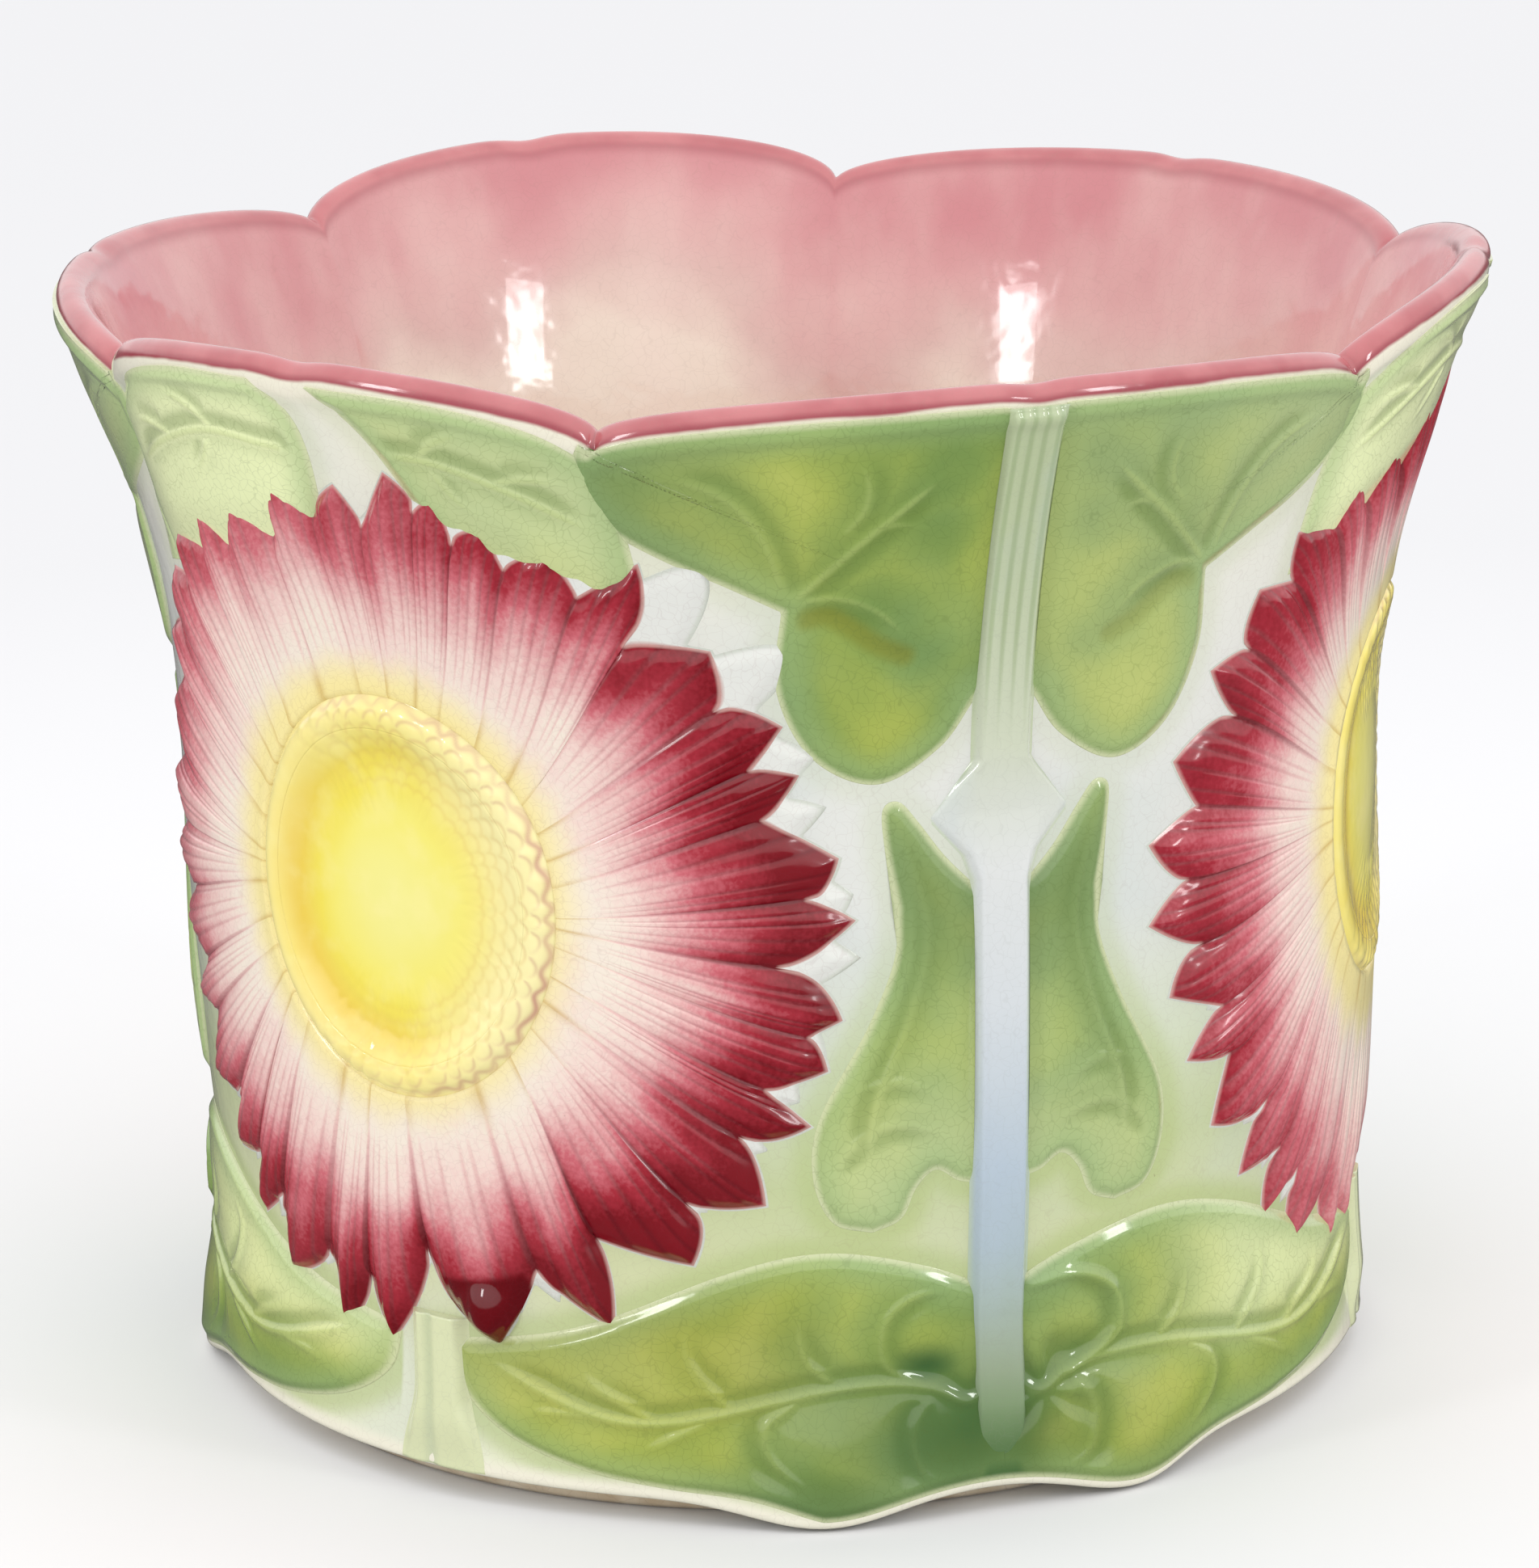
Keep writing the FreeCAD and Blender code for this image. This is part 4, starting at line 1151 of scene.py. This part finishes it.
def disc_grid(outer, inner, rows, rise):
    """A part of the dished disc as a grid with relief and marks. rise is its crest's height as a share."""
    turn = np.linspace(0, 360, DISC_COLUMNS, endpoint=False)
    radius = np.linspace(outer, inner, rows)[:, None] * np.ones_like(turn)
    turn = turn[None] * np.ones_like(radius)
    plain = smooth(cosine(turn - 180), 0.35, 0.85)
    crest = hump(radius, CREST_RADIUS, np.where(radius > CREST_RADIUS, 3.4, 4.6))
    height = 0.3 + 1.1 * smooth(radius, 22, 32) + 1.5 * rise * crest + 0.25 * (1 - smooth(radius, 0, 18))
    # the ring's outer edge goes under the petals
    height -= 0.75 * smooth(radius, RING_RADIUS - 2.6, RING_RADIUS)
    if inner == 0:
        # the disc's own edge goes under the ring
        height -= 0.15 * smooth(radius, DISC_RADIUS, outer)
    loop, scale = np.zeros((2,) + radius.shape)
    for row, (end, paint) in enumerate(SCALE_ROWS):
        wander = 0.2 * sine(7 * turn + 40 * row) + 0.12 * sine(17 * turn)
        cell = (turn / 360 * SCALES_AROUND + row % 2 / 2 + wander) % 1 - 0.5
        width = 2 * math.pi * end / SCALES_AROUND
        out = radius - end + 1.9
        gap = np.hypot(cell * width, np.where(out < 0, 0.5, 1.0) * out)
        height += 0.22 * (1 - smooth(gap, 0.4, 2.0)) * (1 - 0.07 * row) * (1 - 0.9 * plain)
        stroke = hump(gap, 1.95, 0.34) * smooth(out, 0.0, 0.8) * smooth(cell, -0.6, 0.1)
        loop = np.maximum(loop, paint * stroke)
        scale = np.maximum(scale, hump(gap, 1.9, 0.4) * smooth(out, -0.4, 0.6) * (row > 1))
        if row == 0:
            line = 32.5 + 0.5 * np.cos(2 * math.pi * cell)
            patchy = 0.6 + 0.4 * sine(5 * turn + 30) * sine(3 * turn)
            loop = np.maximum(loop, 0.75 * patchy * hump(radius, line, 0.5))
    strength = (0.3 + 0.7 * smooth(cosine(turn - 10), -0.7, 0.5)) * (1 - plain)
    # painted shade: amber on the lower left inner slope of the dish
    painted_slope_shade = 0.34 * hump(radius, 25.0, 3.4) * smooth(cosine(turn - 208), -0.1, 0.9)
    # painted light: the disc's right side is paler, which lifts the shade on its scales
    painted_light_right = 0.75 * smooth(cosine(turn), 0.0, 0.9) * smooth(radius, 12, 26)
    marks = {"radius": radius, "painted_slope_shade": painted_slope_shade, "painted_light_right": painted_light_right}
    marks |= {"loop": loop * strength, "scale": 0.22 * scale * strength}
    x = DISC_WIDTH * radius * cosine(turn)
    z = FLOWER_HEIGHT + DISC_HEIGHT * radius * sine(turn)
    return x, z, height, marks


def make_discs():
    material = disc_glaze()
    parts = (("flower_ring", RING_RADIUS, DISC_RADIUS, 26), ("flower_disc", DISC_RADIUS + 0.3, 0.0, 84))
    for name, outer, inner, rows in parts:
        for k in range(SEGMENTS):
            x, z, height, marks = disc_grid(outer, inner, rows, DISC_RISES[k])
            given = dict(marks, radius=marks["radius"] * DISC_PALING[k])
            make_relief(name, k, flower_azimuth(k), x, z, height, given, True, material)


make_wall()
make_base()
make_leaves()
stem_material = stem_glaze()
make_stems(stem_material)
make_stalks(stem_material)
make_petals()
make_discs()


# the camera at the photograph's angle, in degrees, metres, pixels and millimetres of sensor
CAMERA_AZIMUTH = 40.2
CAMERA_ELEVATION = 15.16
CAMERA_DISTANCE = 1.0728
CAMERA_TARGET_HEIGHT = 0.0942
CAMERA_SHIFT = -0.0015
CAMERA_ROLL = 1.236
FOCAL_PIXELS = 7980.0
IMAGE_WIDTH = 1904
SENSOR_WIDTH = 36.0

# the studio, in metres and watts: the paper, the tent's brightness from straight below to straight above, and
# the two softboxes at the camera's sides
FLOOR_REACH = 6.0
TENT_STOPS = [(0.0, 0.06), (0.47, 0.08), (0.52, 0.6), (1.0, 0.96)]
TENT_STRENGTH = 1.6
SOFTBOX_TURN = 53.0
SOFTBOX_DISTANCE = 1.2
SOFTBOX_SIZE = (0.16, 0.28)
SOFTBOX_POWER = 1.8


def outward(azimuth):
    turn = math.radians(azimuth)
    return Vector((math.sin(turn), -math.cos(turn), 0.0))


def make_camera():
    up, rise, roll = Vector((0, 0, 1)), math.radians(CAMERA_ELEVATION), math.radians(CAMERA_ROLL)
    out = outward(CAMERA_AZIMUTH)
    right = up.cross(out)
    back = out * math.cos(rise) + up * math.sin(rise)
    head = up * math.cos(rise) - out * math.sin(rise)
    data = bpy.data.cameras.new("camera")
    data.sensor_fit = "HORIZONTAL"
    data.sensor_width = SENSOR_WIDTH
    data.lens = FOCAL_PIXELS / IMAGE_WIDTH * SENSOR_WIDTH
    camera = bpy.data.objects.new("camera", data)
    bpy.context.collection.objects.link(camera)
    turned_right = right * math.cos(roll) - head * math.sin(roll)
    turned_head = head * math.cos(roll) + right * math.sin(roll)
    place = right * CAMERA_SHIFT + up * CAMERA_TARGET_HEIGHT + back * CAMERA_DISTANCE
    axes = Matrix((turned_right, turned_head, back)).transposed().to_4x4()
    camera.matrix_world = Matrix.Translation(place) @ axes
    bpy.context.scene.camera = camera


def make_light(name, azimuth, elevation):
    data = bpy.data.lights.new(name, "AREA")
    data.shape = "RECTANGLE"
    data.size, data.size_y = SOFTBOX_SIZE
    data.energy = SOFTBOX_POWER
    light = bpy.data.objects.new(name, data)
    bpy.context.collection.objects.link(light)
    rise = math.radians(elevation)
    aim = Vector((0, 0, CAMERA_TARGET_HEIGHT))
    way = outward(azimuth) * math.cos(rise) + Vector((0, 0, math.sin(rise)))
    light.location = aim + way * SOFTBOX_DISTANCE
    light.rotation_euler = (aim - light.location).to_track_quat("-Z", "Y").to_euler()


def make_floor():
    mesh = bpy.data.meshes.new("floor")
    corners = [(x * FLOOR_REACH, y * FLOOR_REACH, 0) for x, y in ((-1, -1), (1, -1), (1, 1), (-1, 1))]
    mesh.from_pydata(corners, [], [(0, 1, 2, 3)])
    floor = bpy.data.objects.new("floor", mesh)
    bpy.context.collection.objects.link(floor)
    g = Glaze("floor_paper_painted_light")
    away = g.add("VectorMath", {0: g.place}, operation="LENGTH").outputs["Value"]
    # painted light: the paper is lighter near the pot and darker far off, which evens out the pot's shade on
    # the floor
    shade = g.ramp(away, [(0.1, (227, 227, 229)), (0.6, (213, 213, 215))])
    g.surface(shade, {"Roughness": 0.9, "Specular IOR Level": 0.0})
    mesh.materials.append(g.material)
    # the tent's dark ground shows in the glaze in place of the paper
    floor.visible_glossy = False


def make_sky():
    """A white tent, brightest overhead, over a dark ground that only the glaze reflects."""
    world = bpy.data.worlds.new("tent")
    world.use_nodes = True
    nodes, links = world.node_tree.nodes, world.node_tree.links
    place = nodes.new("ShaderNodeTexCoord")
    parts = nodes.new("ShaderNodeSeparateXYZ")
    links.new(place.outputs["Generated"], parts.inputs[0])
    ramp = nodes.new("ShaderNodeValToRGB")
    shift = nodes.new("ShaderNodeMapRange")
    links.new(parts.outputs["Z"], shift.inputs["Value"])
    shift.inputs["From Min"].default_value = -1.0
    links.new(shift.outputs["Result"], ramp.inputs["Fac"])
    set_stops(ramp, [(position, (light, light, light, 1.0)) for position, light in TENT_STOPS])
    background = nodes["Background"]
    links.new(ramp.outputs["Color"], background.inputs["Color"])
    background.inputs["Strength"].default_value = TENT_STRENGTH
    bpy.context.scene.world = world


def make_studio():
    bpy.context.scene.view_settings.view_transform = "Standard"
    make_sky()
    make_floor()
    make_light("left_softbox", CAMERA_AZIMUTH - SOFTBOX_TURN, 22)
    make_light("right_softbox", CAMERA_AZIMUTH + SOFTBOX_TURN, 24)


make_studio()
make_camera()
